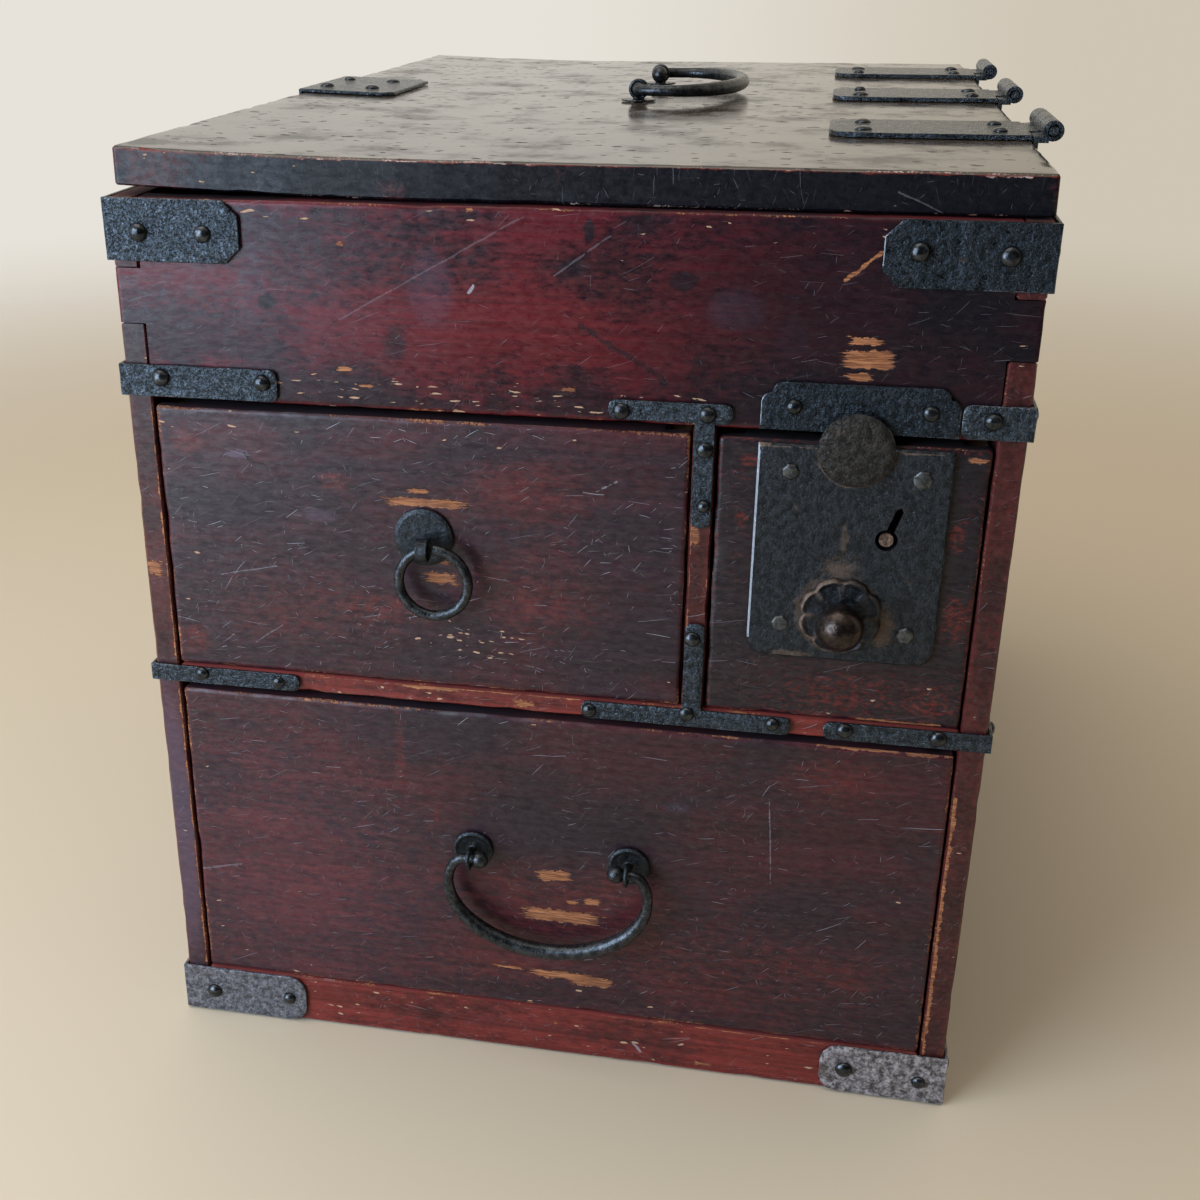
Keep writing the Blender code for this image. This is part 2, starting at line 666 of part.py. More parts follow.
def build_case_irons():
    """Add the corner irons, straps and strike plate of the case."""
    top = CASE_TOP - TOP_CORNER_HEIGHT
    for name, side, leg in (
        ("corner_iron_top_left", -1, TOP_LEFT_CORNER_LEG),
        ("corner_iron_top_right", 1, TOP_RIGHT_CORNER_LEG),
    ):
        corner_iron(
            name, side, top, TOP_CORNER_HEIGHT, leg, CORNER_SIDE_LEG, TOP_CORNER_CLIP, 1, IRON
        )
    for name, side, leg in (
        ("corner_iron_bottom_left", -1, BOTTOM_LEFT_CORNER_LEG),
        ("corner_iron_bottom_right", 1, BOTTOM_RIGHT_CORNER_LEG),
    ):
        corner_iron(
            name,
            side,
            BOTTOM_CORNER_RISE,
            BOTTOM_CORNER_HEIGHT,
            leg,
            CORNER_SIDE_LEG,
            BOTTOM_CORNER_CLIP,
            3,
            IRON,
        )
    upper = RAIL_LOW + UPPER_STRAP_LIFT
    lower = SHELF_LOW + (SHELF_THICKNESS - LOWER_STRAP_HEIGHT) / 2
    for name, side, low, height, leg in (
        ("rail_strap_upper_left", -1, upper, UPPER_STRAP_HEIGHT, UPPER_LEFT_STRAP_LEG),
        ("rail_strap_upper_right", 1, upper, UPPER_STRAP_HEIGHT, UPPER_RIGHT_STRAP_LEG),
        ("rail_strap_lower_left", -1, lower, LOWER_STRAP_HEIGHT, LOWER_LEFT_STRAP_LEG),
        ("rail_strap_lower_right", 1, lower, LOWER_STRAP_HEIGHT, LOWER_RIGHT_STRAP_LEG),
    ):
        corner_iron(name, side, low, height, leg, STRAP_SIDE_LEG, STRAP_CLIP, 3, IRON)
    half = PARTITION_IRON_WIDTH / 2
    clip = PARTITION_IRON_CLIP
    low = RAIL_LOW + PARTITION_TOP_LIFT
    high = low + PARTITION_TOP_HEIGHT
    front_iron(
        "partition_strap_top",
        [
            (PARTITION_X - half, low - PARTITION_TOP_LEG, clip),
            (PARTITION_X + half, low - PARTITION_TOP_LEG, clip),
            (PARTITION_X + half, low, 0.0),
            (PARTITION_X + PARTITION_TOP_RIGHT_REACH, low, clip),
            (PARTITION_X + PARTITION_TOP_RIGHT_REACH, high, clip),
            (PARTITION_X - PARTITION_TOP_LEFT_REACH, high, clip),
            (PARTITION_X - PARTITION_TOP_LEFT_REACH, low, clip),
            (PARTITION_X - half, low, 0.0),
        ],
        3,
        IRON,
    )
    high = lower + LOWER_STRAP_HEIGHT
    front_iron(
        "partition_strap_bottom",
        [
            (PARTITION_X - PARTITION_BOTTOM_LEFT_REACH, lower, clip),
            (PARTITION_X + PARTITION_BOTTOM_RIGHT_REACH, lower, clip),
            (PARTITION_X + PARTITION_BOTTOM_RIGHT_REACH, high, clip),
            (PARTITION_X + half, high, 0.0),
            (PARTITION_X + half, high + PARTITION_BOTTOM_LEG, clip),
            (PARTITION_X - half, high + PARTITION_BOTTOM_LEG, clip),
            (PARTITION_X - half, high, 0.0),
            (PARTITION_X - PARTITION_BOTTOM_LEFT_REACH, high, clip),
        ],
        3,
        IRON,
    )
    half = LOCK_PLATE_WIDTH / 2
    low = RAIL_LOW + STRIKE_LIFT
    high = low + STRIKE_HEIGHT
    front_iron(
        "strike_plate",
        [(LOCK_X - half, low, 0.0), (LOCK_X + half, low, 0.0)]
        + lobed_corner(
            (LOCK_X + half, high - STRIKE_CORNER),
            (LOCK_X + half - STRIKE_CORNER, high),
            STRIKE_LOBE,
            4,
        )
        + lobed_corner(
            (LOCK_X - half + STRIKE_CORNER, high),
            (LOCK_X - half, high - STRIKE_CORNER),
            STRIKE_LOBE,
            4,
        ),
        1,
        IRON,
    )


def build_hinge(place_name, setback, lid_axis):
    """Add one strap hinge: the leaf on the case, the strap on the lid and the pin."""
    centre = FRONT + setback
    half = HINGE_WIDTH / 2
    knuckle = HINGE_WIDTH * KNUCKLE_SHARE
    inner_half = half - knuckle - KNUCKLE_GAP
    bore = HINGE_PIN_RADIUS + BARREL_BORE_CLEARANCE
    leaf_near = HALF_WIDTH + SEAT
    leaf_far = leaf_near + HINGE_THICKNESS
    strap_end = leaf_near - KNUCKLE_GAP
    tip = HALF_WIDTH - HINGE_STRAP_REACH

    # The leaf runs down the side and carries the outer two knuckles
    name = "hinge_case_leaf_" + place_name
    low = CASE_TOP - HINGE_LEAF_DROP
    mesh = block_mesh(name, (HINGE_THICKNESS, HINGE_WIDTH, LID_TOP - low))
    place = ((leaf_near + leaf_far) / 2, centre, (low + LID_TOP) / 2)
    leaf = add_piece(name, mesh, place, IRON)
    for label, way in (("_a", -1), ("_b", 1)):
        middle = centre + way * (half - knuckle / 2)
        web_end = HINGE_AXIS_X - BARREL_RADIUS * HINGE_WEB_SHARE
        web = (web_end - leaf_near, knuckle, HINGE_THICKNESS + HINGE_WEB_DROP)
        web_place = (
            (web_end + leaf_near) / 2,
            middle,
            LID_TOP + (HINGE_THICKNESS - HINGE_WEB_DROP) / 2,
        )
        combine(leaf, add_tool(name + "_web" + label, block_mesh(name + "_web", web), web_place), "UNION")
        barrel = rod_mesh(name + "_knuckle", BARREL_RADIUS, knuckle, 18)
        barrel_place = (HINGE_AXIS_X, middle, HINGE_AXIS_Z)
        tool = add_tool(name + "_knuckle" + label, barrel, barrel_place, ALONG_Y)
        combine(leaf, tool, "UNION")
    axis_place = (HINGE_AXIS_X, centre, HINGE_AXIS_Z)
    cut_bore(leaf, name + "_bore", axis_place, bore, HINGE_WIDTH * 2, ALONG_Y)

    # The strap lies on the lid and carries the middle knuckle
    name = "hinge_lid_strap_" + place_name
    outline = cut_corners(
        [
            (tip, -half, HINGE_STRAP_TIP),
            (strap_end, -half, 0.0),
            (strap_end, -inner_half, 0.0),
            (HINGE_AXIS_X, -inner_half, 0.0),
            (HINGE_AXIS_X, inner_half, 0.0),
            (strap_end, inner_half, 0.0),
            (strap_end, half, 0.0),
            (tip, half, HINGE_STRAP_TIP),
        ],
        4,
    )
    mesh = flat_mesh(name, outline, HINGE_THICKNESS)
    place = (0.0, centre, LID_TOP + SEAT + HINGE_THICKNESS / 2)
    strap = add_piece(name, mesh, place, IRON, lid_axis)
    barrel = rod_mesh(name + "_knuckle", BARREL_RADIUS, inner_half * 2, 18)
    combine(strap, add_tool(name + "_knuckle", barrel, axis_place, ALONG_Y, lid_axis), "UNION")
    cut_bore(strap, name + "_bore", axis_place, bore, HINGE_WIDTH * 2, ALONG_Y, lid_axis)

    # The pin stays with the leaf on the case
    name = "hinge_pin_" + place_name
    length = HINGE_WIDTH + 2 * HINGE_PIN_PROUD
    add_piece(name, rod_mesh(name, HINGE_PIN_RADIUS, length, 16), axis_place, WORN_IRON, None, ALONG_Y)


def lid_rise(across):
    """Return how far the curled lid has lifted at a distance across the box."""
    past = max(0.0, LID_LEFT + LID_CURL_LENGTH - across) / LID_CURL_LENGTH
    return LID_CURL_RISE * past * past


def curled_strip(left, right, steps, low, high):
    """Return the end section of a strip that follows the curl of the lid."""
    marks = [left + (right - left) * step / steps for step in range(steps + 1)]
    under = [(across, low + lid_rise(across)) for across in marks]
    over = [(across, high + lid_rise(across)) for across in reversed(marks)]
    return under + over


def build_lid(lid_axis):
    """Add the lid board, its edge strap, the handle posts and the handle."""
    curl_end = LID_LEFT + LID_CURL_LENGTH
    section = curled_strip(LID_LEFT, curl_end, 6, 0.0, LID_THICKNESS)
    section = section[:7] + [(HALF_WIDTH, 0.0), (HALF_WIDTH, LID_THICKNESS)] + section[7:]
    depth = CASE_DEPTH - LID_FRONT_SETBACK
    mesh = flat_mesh("lid_board", section, depth)
    place = (0.0, BACK - depth / 2, LID_LOW)
    lid = add_piece("lid_board", mesh, place, LID_LACQUER, lid_axis, FACING_FRONT)
    ease(lid, EDGE_EASE)

    # The strap lies on the lid and folds down its left edge
    outer = LID_LEFT - SEAT - IRON_THICKNESS
    inner = LID_LEFT - SEAT
    tip = LID_LEFT + EDGE_STRAP_REACH
    low = LID_TOP + SEAT
    section = curled_strip(LID_LEFT, tip, 4, low, low + IRON_THICKNESS)
    lift = lid_rise(LID_LEFT)
    fold = low + lift - EDGE_STRAP_FOLD
    fold_section = [(outer, low + IRON_THICKNESS + lift), (outer, fold), (inner, fold), (inner, low + lift)]
    mesh = flat_mesh("lid_edge_strap", section[1:-1] + fold_section, EDGE_STRAP_WIDTH)
    shell = bmesh.new()
    shell.from_mesh(mesh)
    tips = []
    for edge in shell.edges:
        one, two = (vert.co for vert in edge.verts)
        at_tip = max(abs(one.x - tip), abs(two.x - tip)) < 0.00001
        if at_tip and abs(one.z - two.z) < 0.00001:
            tips.append(edge)
    bmesh.ops.bevel(shell, geom=tips, offset=EDGE_STRAP_CLIP, segments=1, affect="EDGES")
    finish_mesh(shell, mesh)
    strap_y = FRONT + EDGE_STRAP_SETBACK + EDGE_STRAP_WIDTH / 2
    add_piece("lid_edge_strap", mesh, (0.0, strap_y, 0.0), IRON, lid_axis, FACING_FRONT)

    # Each handle post has a washer, an eye and a shank through the lid
    washer_top = SEAT + LID_HANDLE_WASHER_THICKNESS
    neck_top = LID_HANDLE_EYE_RISE - EYE_RADIUS
    profile = [
        (0.0, neck_top),
        (EYE_NECK_RADIUS, neck_top),
        (EYE_NECK_RADIUS, washer_top),
        (LID_HANDLE_WASHER_RADIUS, washer_top),
        (LID_HANDLE_WASHER_RADIUS, SEAT),
        (SHANK_RADIUS, SEAT),
        (SHANK_RADIUS, -LID_THICKNESS),
        (0.0, -LID_THICKNESS),
    ]
    for label, way in (("front", -1), ("rear", 1)):
        name = "lid_handle_post_" + label
        along = HANDLE_Y + way * LID_HANDLE_SPAN / 2
        post = add_piece(name, turned_mesh(name, profile), (0.0, along, LID_TOP), IRON, lid_axis)
        turn_round(post, 20)
        join_eye(post, name + "_eye", (0.0, along, HANDLE_Z), ALONG_Y, lid_axis)
        cut_bore(
            lid,
            name + "_hole",
            (0.0, along, LID_LOW),
            SHANK_RADIUS + SHANK_CLEARANCE,
            LID_THICKNESS * 4,
            FACING_UP,
            lid_axis,
        )
    axis = axis_frame("lid_handle_axis", (0.0, HANDLE_Y, HANDLE_Z), lid_axis)
    path = bail_path(
        LID_HANDLE_SPAN,
        LID_HANDLE_WIDTH,
        LID_HANDLE_REACH,
        LID_HANDLE_SHOULDER,
        LID_HANDLE_END,
        LID_HANDLE_BALL_RADIUS,
        LID_HANDLE_END_WIRE_RADIUS,
        LID_HANDLE_WIRE_RADIUS,
    )
    points = [(away, along, 0.0) for along, away, radius in path]
    mesh = wire_mesh("lid_handle", points, [radius for along, away, radius in path])
    add_piece("lid_handle", mesh, (0.0, HANDLE_Y, HANDLE_Z), IRON, axis)


def build_drawer(label, left, right, low, high, parent, finish):
    """Add the five boards of a drawer that fills a bay and return its front."""
    left = left + DRAWER_SIDE_CLEARANCE
    right = right - DRAWER_SIDE_CLEARANCE
    low = low + SEAT
    high = high - DRAWER_TOP_CLEARANCE
    rear = BACK_INNER - DRAWER_END_CLEARANCE
    inside = FRONT + DRAWER_FRONT_THICKNESS
    rebate = inside - DRAWER_REBATE
    step = DRAWER_SIDE_THICKNESS + SEAT
    outline = [
        (left, FRONT),
        (right, FRONT),
        (right, rebate),
        (right - step, rebate),
        (right - step, inside),
        (left + step, inside),
        (left + step, rebate),
        (left, rebate),
    ]
    mesh = flat_mesh(label + "_front", outline, high - low)
    front = add_piece(label + "_front", mesh, (0.0, 0.0, (low + high) / 2), finish, parent)
    ease(front, EDGE_EASE)
    side_top = high - DRAWER_SIDE_STEP
    start = rebate + SEAT
    thick = DRAWER_SIDE_THICKNESS
    board(label + "_left", (left, start, low), (left + thick, rear, side_top), BARE_WOOD, parent)
    board(label + "_right", (right - thick, start, low), (right, rear, side_top), BARE_WOOD, parent)
    inner_left = left + thick + SEAT
    inner_right = right - thick - SEAT
    back_front = rear - DRAWER_BACK_THICKNESS
    board(label + "_back", (inner_left, back_front, low), (inner_right, rear, side_top), BARE_WOOD, parent)
    bottom_low = low + DRAWER_BOTTOM_LIFT
    board(
        label + "_bottom",
        (inner_left, inside + SEAT, bottom_low),
        (inner_right, back_front - SEAT, bottom_low + DRAWER_BOTTOM_THICKNESS),
        BARE_WOOD,
        parent,
    )
    return front


def drill_front(front, name, across, up, radius, parent):
    """Drill a hole for a shank through a drawer front."""
    centre = (across, FRONT + DRAWER_FRONT_THICKNESS / 2, up)
    cut_bore(front, name, centre, radius + SHANK_CLEARANCE, DRAWER_FRONT_THICKNESS * 3, ALONG_Y, parent)


def build_ring_drawer():
    """Add the upper left drawer with its ring."""
    frame = axis_frame("ring_drawer_run", (0.0, FRONT, SHELF_TOP))
    front = build_drawer("ring_drawer", -INNER, PARTITION_LEFT, SHELF_TOP, RAIL_LOW, frame, LACQUER_DARK)
    drill_front(front, "ring_shank_hole", RING_X, RING_Z, SHANK_RADIUS, frame)
    eye_y = FRONT - RING_EYE_RISE
    profile = [
        (0.0, RING_EYE_RISE),
        (SHANK_RADIUS, RING_EYE_RISE),
        (SHANK_RADIUS, -DRAWER_FRONT_THICKNESS),
        (0.0, -DRAWER_FRONT_THICKNESS),
    ]
    mesh = turned_mesh("ring_post", profile)
    post = add_piece("ring_post", mesh, (RING_X, FRONT, RING_Z), IRON, frame, FACING_FRONT)
    turn_round(post, 16)
    face = SEAT + RING_ROUNDEL_THICKNESS
    profile = [
        (0.0, face),
        (RING_ROUNDEL_RADIUS * 0.86, face),
        (RING_ROUNDEL_RADIUS, face - RING_ROUNDEL_THICKNESS * 0.45),
        (RING_ROUNDEL_RADIUS, SEAT),
        (0.0, SEAT),
    ]
    place = (RING_X + RING_ROUNDEL_SHIFT, FRONT, RING_Z + RING_ROUNDEL_LIFT)
    roundel = add_tool("ring_roundel", turned_mesh("ring_roundel", profile), place, FACING_FRONT, frame)
    turn_round(roundel, 28)
    combine(post, roundel, "UNION")
    bore = RING_WIRE_RADIUS + RING_EYE_CLEARANCE
    roll = rod_mesh("ring_post_roll", bore + RING_EYE_WALL, RING_EYE_WIDTH)
    eye_place = (RING_X, eye_y, RING_Z)
    combine(post, add_tool("ring_post_roll", roll, eye_place, ALONG_X, frame), "UNION")
    cut_bore(post, "ring_post_bore", eye_place, bore, RING_EYE_WIDTH * 2, ALONG_X, frame)
    axis = axis_frame("ring_axis", (RING_X, eye_y, RING_Z), frame)
    drop = math.sqrt(RING_RADIUS * RING_RADIUS - RING_LEAN * RING_LEAN)
    start = math.atan2(drop, -RING_LEAN) - RING_GAP_TURN
    sweep = 2 * math.pi - RING_GAP_ANGLE
    points = []
    for step in range(37):
        angle = start - sweep * step / 36
        across = RING_LEAN + RING_RADIUS * math.cos(angle)
        points.append((across, 0.0, RING_RADIUS * math.sin(angle) - drop))
    mesh = wire_mesh("ring_pull", points, [RING_WIRE_RADIUS] * len(points))
    add_piece("ring_pull", mesh, (RING_X, eye_y, RING_Z), IRON, axis)


def build_lower_drawer():
    """Add the full width drawer with its bail handle."""
    frame = axis_frame("lower_drawer_run", (0.0, FRONT, BASE_THICKNESS))
    front = build_drawer("lower_drawer", -INNER, INNER, BASE_THICKNESS, SHELF_LOW, frame, LACQUER_DARK)
    eye_y = FRONT - BAIL_EYE_RISE
    neck_top = BAIL_EYE_RISE - EYE_RADIUS
    face = SEAT + BAIL_ROUNDEL_THICKNESS
    profile = [
        (0.0, neck_top),
        (EYE_NECK_RADIUS, neck_top),
        (EYE_NECK_RADIUS, face * 0.55),
        (BAIL_ROUNDEL_RADIUS * 0.72, face * 0.7),
        (BAIL_ROUNDEL_RADIUS * 0.86, face),
        (BAIL_ROUNDEL_RADIUS, face * 0.75),
        (BAIL_ROUNDEL_RADIUS, SEAT),
        (SHANK_RADIUS, SEAT),
        (SHANK_RADIUS, -DRAWER_FRONT_THICKNESS),
        (0.0, -DRAWER_FRONT_THICKNESS),
    ]
    for label, way in (("left", -1), ("right", 1)):
        name = "bail_post_" + label
        across = BAIL_OFFSET + way * BAIL_SPAN / 2
        place = (across, FRONT, BAIL_Z)
        post = add_piece(name, turned_mesh(name, profile), place, IRON, frame, FACING_FRONT)
        turn_round(post, 24)
        join_eye(post, name + "_eye", (across, eye_y, BAIL_Z), ALONG_X, frame)
        drill_front(front, name + "_hole", across, BAIL_Z, SHANK_RADIUS, frame)
    axis = axis_frame("bail_axis", (BAIL_OFFSET, eye_y, BAIL_Z), frame)
    path = bail_path(
        BAIL_SPAN,
        BAIL_WIDTH,
        BAIL_DROP,
        BAIL_SHOULDER,
        BAIL_END,
        BAIL_BALL_RADIUS,
        BAIL_END_WIRE_RADIUS,
        BAIL_WIRE_RADIUS,
    )
    points = [(along, 0.0, -away) for along, away, radius in path]
    mesh = wire_mesh("bail_handle", points, [radius for along, away, radius in path])
    add_piece("bail_handle", mesh, (BAIL_OFFSET, eye_y, BAIL_Z), IRON, axis)


def keyhole_outline(margin):
    """Return the outline of the keyhole about its round part, widened by a margin."""
    radius = KEYHOLE_RADIUS + margin
    lean = Vector((KEYHOLE_SLOT_LEAN, KEYHOLE_SLOT_LENGTH))
    heading = math.atan2(lean.y, lean.x)
    half = KEYHOLE_SLOT_WIDTH / 2 + margin
    spread = math.asin(half / radius)
    outline = []
    for step in range(17):
        angle = heading + spread + (2 * math.pi - 2 * spread) * step / 16
        outline.append((radius * math.cos(angle), radius * math.sin(angle)))
    away = lean.normalized()
    across = Vector((away.y, -away.x)) * half
    for spot in (lean + across, lean + away * half, lean - across):
        outline.append((spot.x, spot.y))
    return outline


def build_lock_drawer():
    """Add the upper right drawer with its lock, sliding bolt and knob."""
    frame = axis_frame("lock_drawer_run", (LOCK_X, FRONT, SHELF_TOP))
    front = build_drawer("lock_drawer", PARTITION_RIGHT, INNER, SHELF_TOP, RAIL_LOW, frame, LACQUER_DARK)
    inside = FRONT + DRAWER_FRONT_THICKNESS
    drill_front(front, "knob_shank_hole", KNOB_X, ROSETTE_Z, SHANK_RADIUS, frame)

    # Plate nailed to the face of the drawer
    half = LOCK_PLATE_WIDTH / 2
    low = LOCK_PLATE_TOP - LOCK_PLATE_HEIGHT
    outline = cut_corners(
        [
            (-half, low, LOCK_PLATE_CORNER),
            (half, low, LOCK_PLATE_CORNER),
            (half, LOCK_PLATE_TOP, 0.0),
            (-half, LOCK_PLATE_TOP, 0.0),
        ],
        4,
    )
    mesh = flat_mesh("lock_plate", outline, LOCK_PLATE_THICKNESS, LOCK_PLATE_BEVEL)
    place = (LOCK_X, FRONT - SEAT - LOCK_PLATE_THICKNESS / 2, 0.0)
    plate = add_piece("lock_plate", mesh, place, WORN_IRON, frame, FACING_FRONT)
    keyhole_place = (KEYHOLE_X, FRONT, KEYHOLE_Z)
    for target, name, margin in ((plate, "plate_keyhole", 0.0), (front, "front_keyhole", SEAT)):
        mesh = flat_mesh(name, keyhole_outline(margin), DRAWER_FRONT_THICKNESS * 4)
        combine(target, add_tool(name, mesh, keyhole_place, FACING_FRONT, frame), "DIFFERENCE")
    hole = SHANK_RADIUS + SHANK_CLEARANCE
    knob_place = (KNOB_X, FRONT, ROSETTE_Z)
    cut_bore(plate, "plate_knob_hole", knob_place, hole, DRAWER_FRONT_THICKNESS, ALONG_Y, frame)

    # Slot for the stem of the bolt and the bed for its tongue, both open at the top
    reach = BOLT_STEM_WIDTH / 2 + BOLT_CLEARANCE
    slot_low = STEM_Z - BOLT_STEM_HEIGHT / 2 - BOLT_CLEARANCE
    for target, name in ((plate, "plate_stem_slot"), (front, "front_stem_slot")):
        cut_block(
            target,
            name,
            (LOCK_X - reach, FRONT - DRAWER_FRONT_THICKNESS, slot_low),
            (LOCK_X + reach, inside + DRAWER_FRONT_THICKNESS, RAIL_LOW),
            frame,
        )
    tongue_top = UPPER_DRAWER_TOP - BOLT_TONGUE_INSET
    tongue_low = tongue_top - BOLT_TONGUE_HEIGHT
    tongue_y = FRONT + BOLT_TONGUE_DEPTH
    reach = BOLT_TONGUE_WIDTH / 2 + BOLT_CLEARANCE
    cut_block(
        front,
        "front_tongue_bed",
        (LOCK_X - reach, tongue_y - BOLT_CLEARANCE, tongue_low - BOLT_CLEARANCE),
        (LOCK_X + reach, inside + DRAWER_FRONT_THICKNESS, RAIL_LOW),
        frame,
    )

    # The bolt is a disc button, a stem and a tongue forged as one
    axis = axis_frame("lock_bolt_run", (LOCK_X, FRONT, BOLT_Z), frame)
    thick = BOLT_DISC_THICKNESS
    profile = [
        (0.0, thick),
        (BOLT_DISC_RADIUS * 0.55, thick * 0.96),
        (BOLT_DISC_RADIUS * 0.88, thick * 0.82),
        (BOLT_DISC_RADIUS, thick * 0.5),
        (BOLT_DISC_RADIUS * 0.96, 0.0),
        (0.0, 0.0),
    ]
    disc_back = PLATE_FACE - BOLT_DISC_GAP
    mesh = turned_mesh("lock_bolt", profile)
    bolt = add_piece("lock_bolt", mesh, (LOCK_X, disc_back, BOLT_Z), WORN_IRON, axis, FACING_FRONT)
    turn_round(bolt, 36)
    stem_front = disc_back - thick / 2
    stem_back = tongue_y + BOLT_TONGUE_THICKNESS / 2
    mesh = block_mesh("bolt_stem", (BOLT_STEM_WIDTH, stem_back - stem_front, BOLT_STEM_HEIGHT))
    place = (LOCK_X, (stem_front + stem_back) / 2, STEM_Z)
    combine(bolt, add_tool("bolt_stem", mesh, place, FACING_UP, axis), "UNION")
    mesh = block_mesh("bolt_tongue", (BOLT_TONGUE_WIDTH, BOLT_TONGUE_THICKNESS, BOLT_TONGUE_HEIGHT))
    place = (LOCK_X, tongue_y + BOLT_TONGUE_THICKNESS / 2, (tongue_low + tongue_top) / 2)
    combine(bolt, add_tool("bolt_tongue", mesh, place, FACING_UP, axis), "UNION")

    # Back plate of the lock, with the post that guides the key
    mesh = block_mesh("lock_back_plate", (LOCK_BACK_WIDTH, LOCK_BACK_THICKNESS, LOCK_BACK_HEIGHT))
    back_y = inside + SEAT + LOCK_BACK_THICKNESS / 2
    back_top = UPPER_DRAWER_TOP - DRAWER_SIDE_STEP - LOCK_BACK_DROP
    place = (LOCK_X, back_y, back_top - LOCK_BACK_HEIGHT / 2)
    back = add_piece("lock_back_plate", mesh, place, IRON, frame)
    length = back_y - PLATE_FACE - SEAT
    mesh = rod_mesh("key_post", KEY_POST_RADIUS, length, 14)
    place = (KEYHOLE_X, back_y - length / 2, KEYHOLE_Z)
    combine(back, add_tool("key_post", mesh, place, ALONG_Y, frame), "UNION")

    # Rosette of petals round the knob
    rise = ROSETTE_HEIGHT
    section = [
        (hole, rise * 0.9),
        (ROSETTE_RADIUS * 0.45, rise * 0.85),
        (ROSETTE_RADIUS * 0.7, rise),
        (ROSETTE_RADIUS * 0.9, rise * 0.85),
        (ROSETTE_RADIUS, rise * 0.35),
        (ROSETTE_RADIUS, 0.0),
        (hole, 0.0),
    ]
    mesh = turned_mesh("knob_rosette", section, True)
    shell = bmesh.new()
    shell.from_mesh(mesh)
    bmesh.ops.spin(
        shell,
        geom=shell.verts[:] + shell.edges[:],
        cent=(0.0, 0.0, 0.0),
        axis=(0.0, 0.0, 1.0),
        angle=2 * math.pi,
        steps=ROSETTE_PETALS * 8,
        use_merge=True,
    )
    bmesh.ops.remove_doubles(shell, verts=shell.verts, dist=0.000005)
    for vert in shell.verts:
        reach = math.hypot(vert.co.x, vert.co.y)
        angle = math.atan2(vert.co.y, vert.co.x)
        valley = abs(math.cos(angle * ROSETTE_PETALS / 2)) ** 6
        outward = max(0.0, reach / ROSETTE_RADIUS - 0.35) / 0.65
        vert.co.z *= 1.0 - 0.55 * valley * outward
        vert.co.x *= 1.0 - ROSETTE_SCALLOP * valley * outward
        vert.co.y *= 1.0 - ROSETTE_SCALLOP * valley * outward
    finish_mesh(shell, mesh)
    for face in mesh.polygons:
        face.use_smooth = True
    rosette_y = PLATE_FACE - SEAT
    add_piece("knob_rosette", mesh, (KNOB_X, rosette_y, ROSETTE_Z), IRON, frame, FACING_FRONT)

    # Knob, turned with its shank
    neck_low = SEAT + LOCK_PLATE_THICKNESS + SEAT + rise + SEAT
    profile = []
    for step in range(9):
        angle = math.pi / 2 - (math.pi / 2 + 1.05) * step / 8
        profile.append((KNOB_RADIUS * math.cos(angle), KNOB_RISE + KNOB_RADIUS * math.sin(angle)))
    profile[0] = (0.0, KNOB_RISE + KNOB_RADIUS)
    profile += [
        (KNOB_NECK_RADIUS, neck_low),
        (SHANK_RADIUS, neck_low),
        (SHANK_RADIUS, -DRAWER_FRONT_THICKNESS),
        (0.0, -DRAWER_FRONT_THICKNESS),
    ]
    mesh = turned_mesh("drawer_knob", profile)
    knob = add_piece("drawer_knob", mesh, (KNOB_X, FRONT, ROSETTE_Z), KNOB_IRON, frame, FACING_FRONT)
    turn_round(knob, 24)


build_case()
build_case_irons()
LID_AXIS = axis_frame("lid_axis", (HINGE_AXIS_X, 0.0, HINGE_AXIS_Z))
build_lid(LID_AXIS)
build_hinge("front", HINGE_FRONT_SETBACK, LID_AXIS)
build_hinge("middle", HINGE_MIDDLE_SETBACK, LID_AXIS)
build_hinge("rear", HINGE_REAR_SETBACK, LID_AXIS)
build_ring_drawer()
build_lock_drawer()
build_lower_drawer()
bpy.context.view_layer.update()
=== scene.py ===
"""Looks of the calligraphy box: worn lacquer, bare wood, forged irons, nails and handles in a plain studio.

Metres, +Z up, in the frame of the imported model. Patterns and marks on the boards are in millimetres.
"""

import json
import logging
import math
from dataclasses import dataclass, field, replace
from enum import Enum
from typing import ClassVar, Optional, Union

import bmesh
import bpy
from mathutils import Matrix, Vector, noise

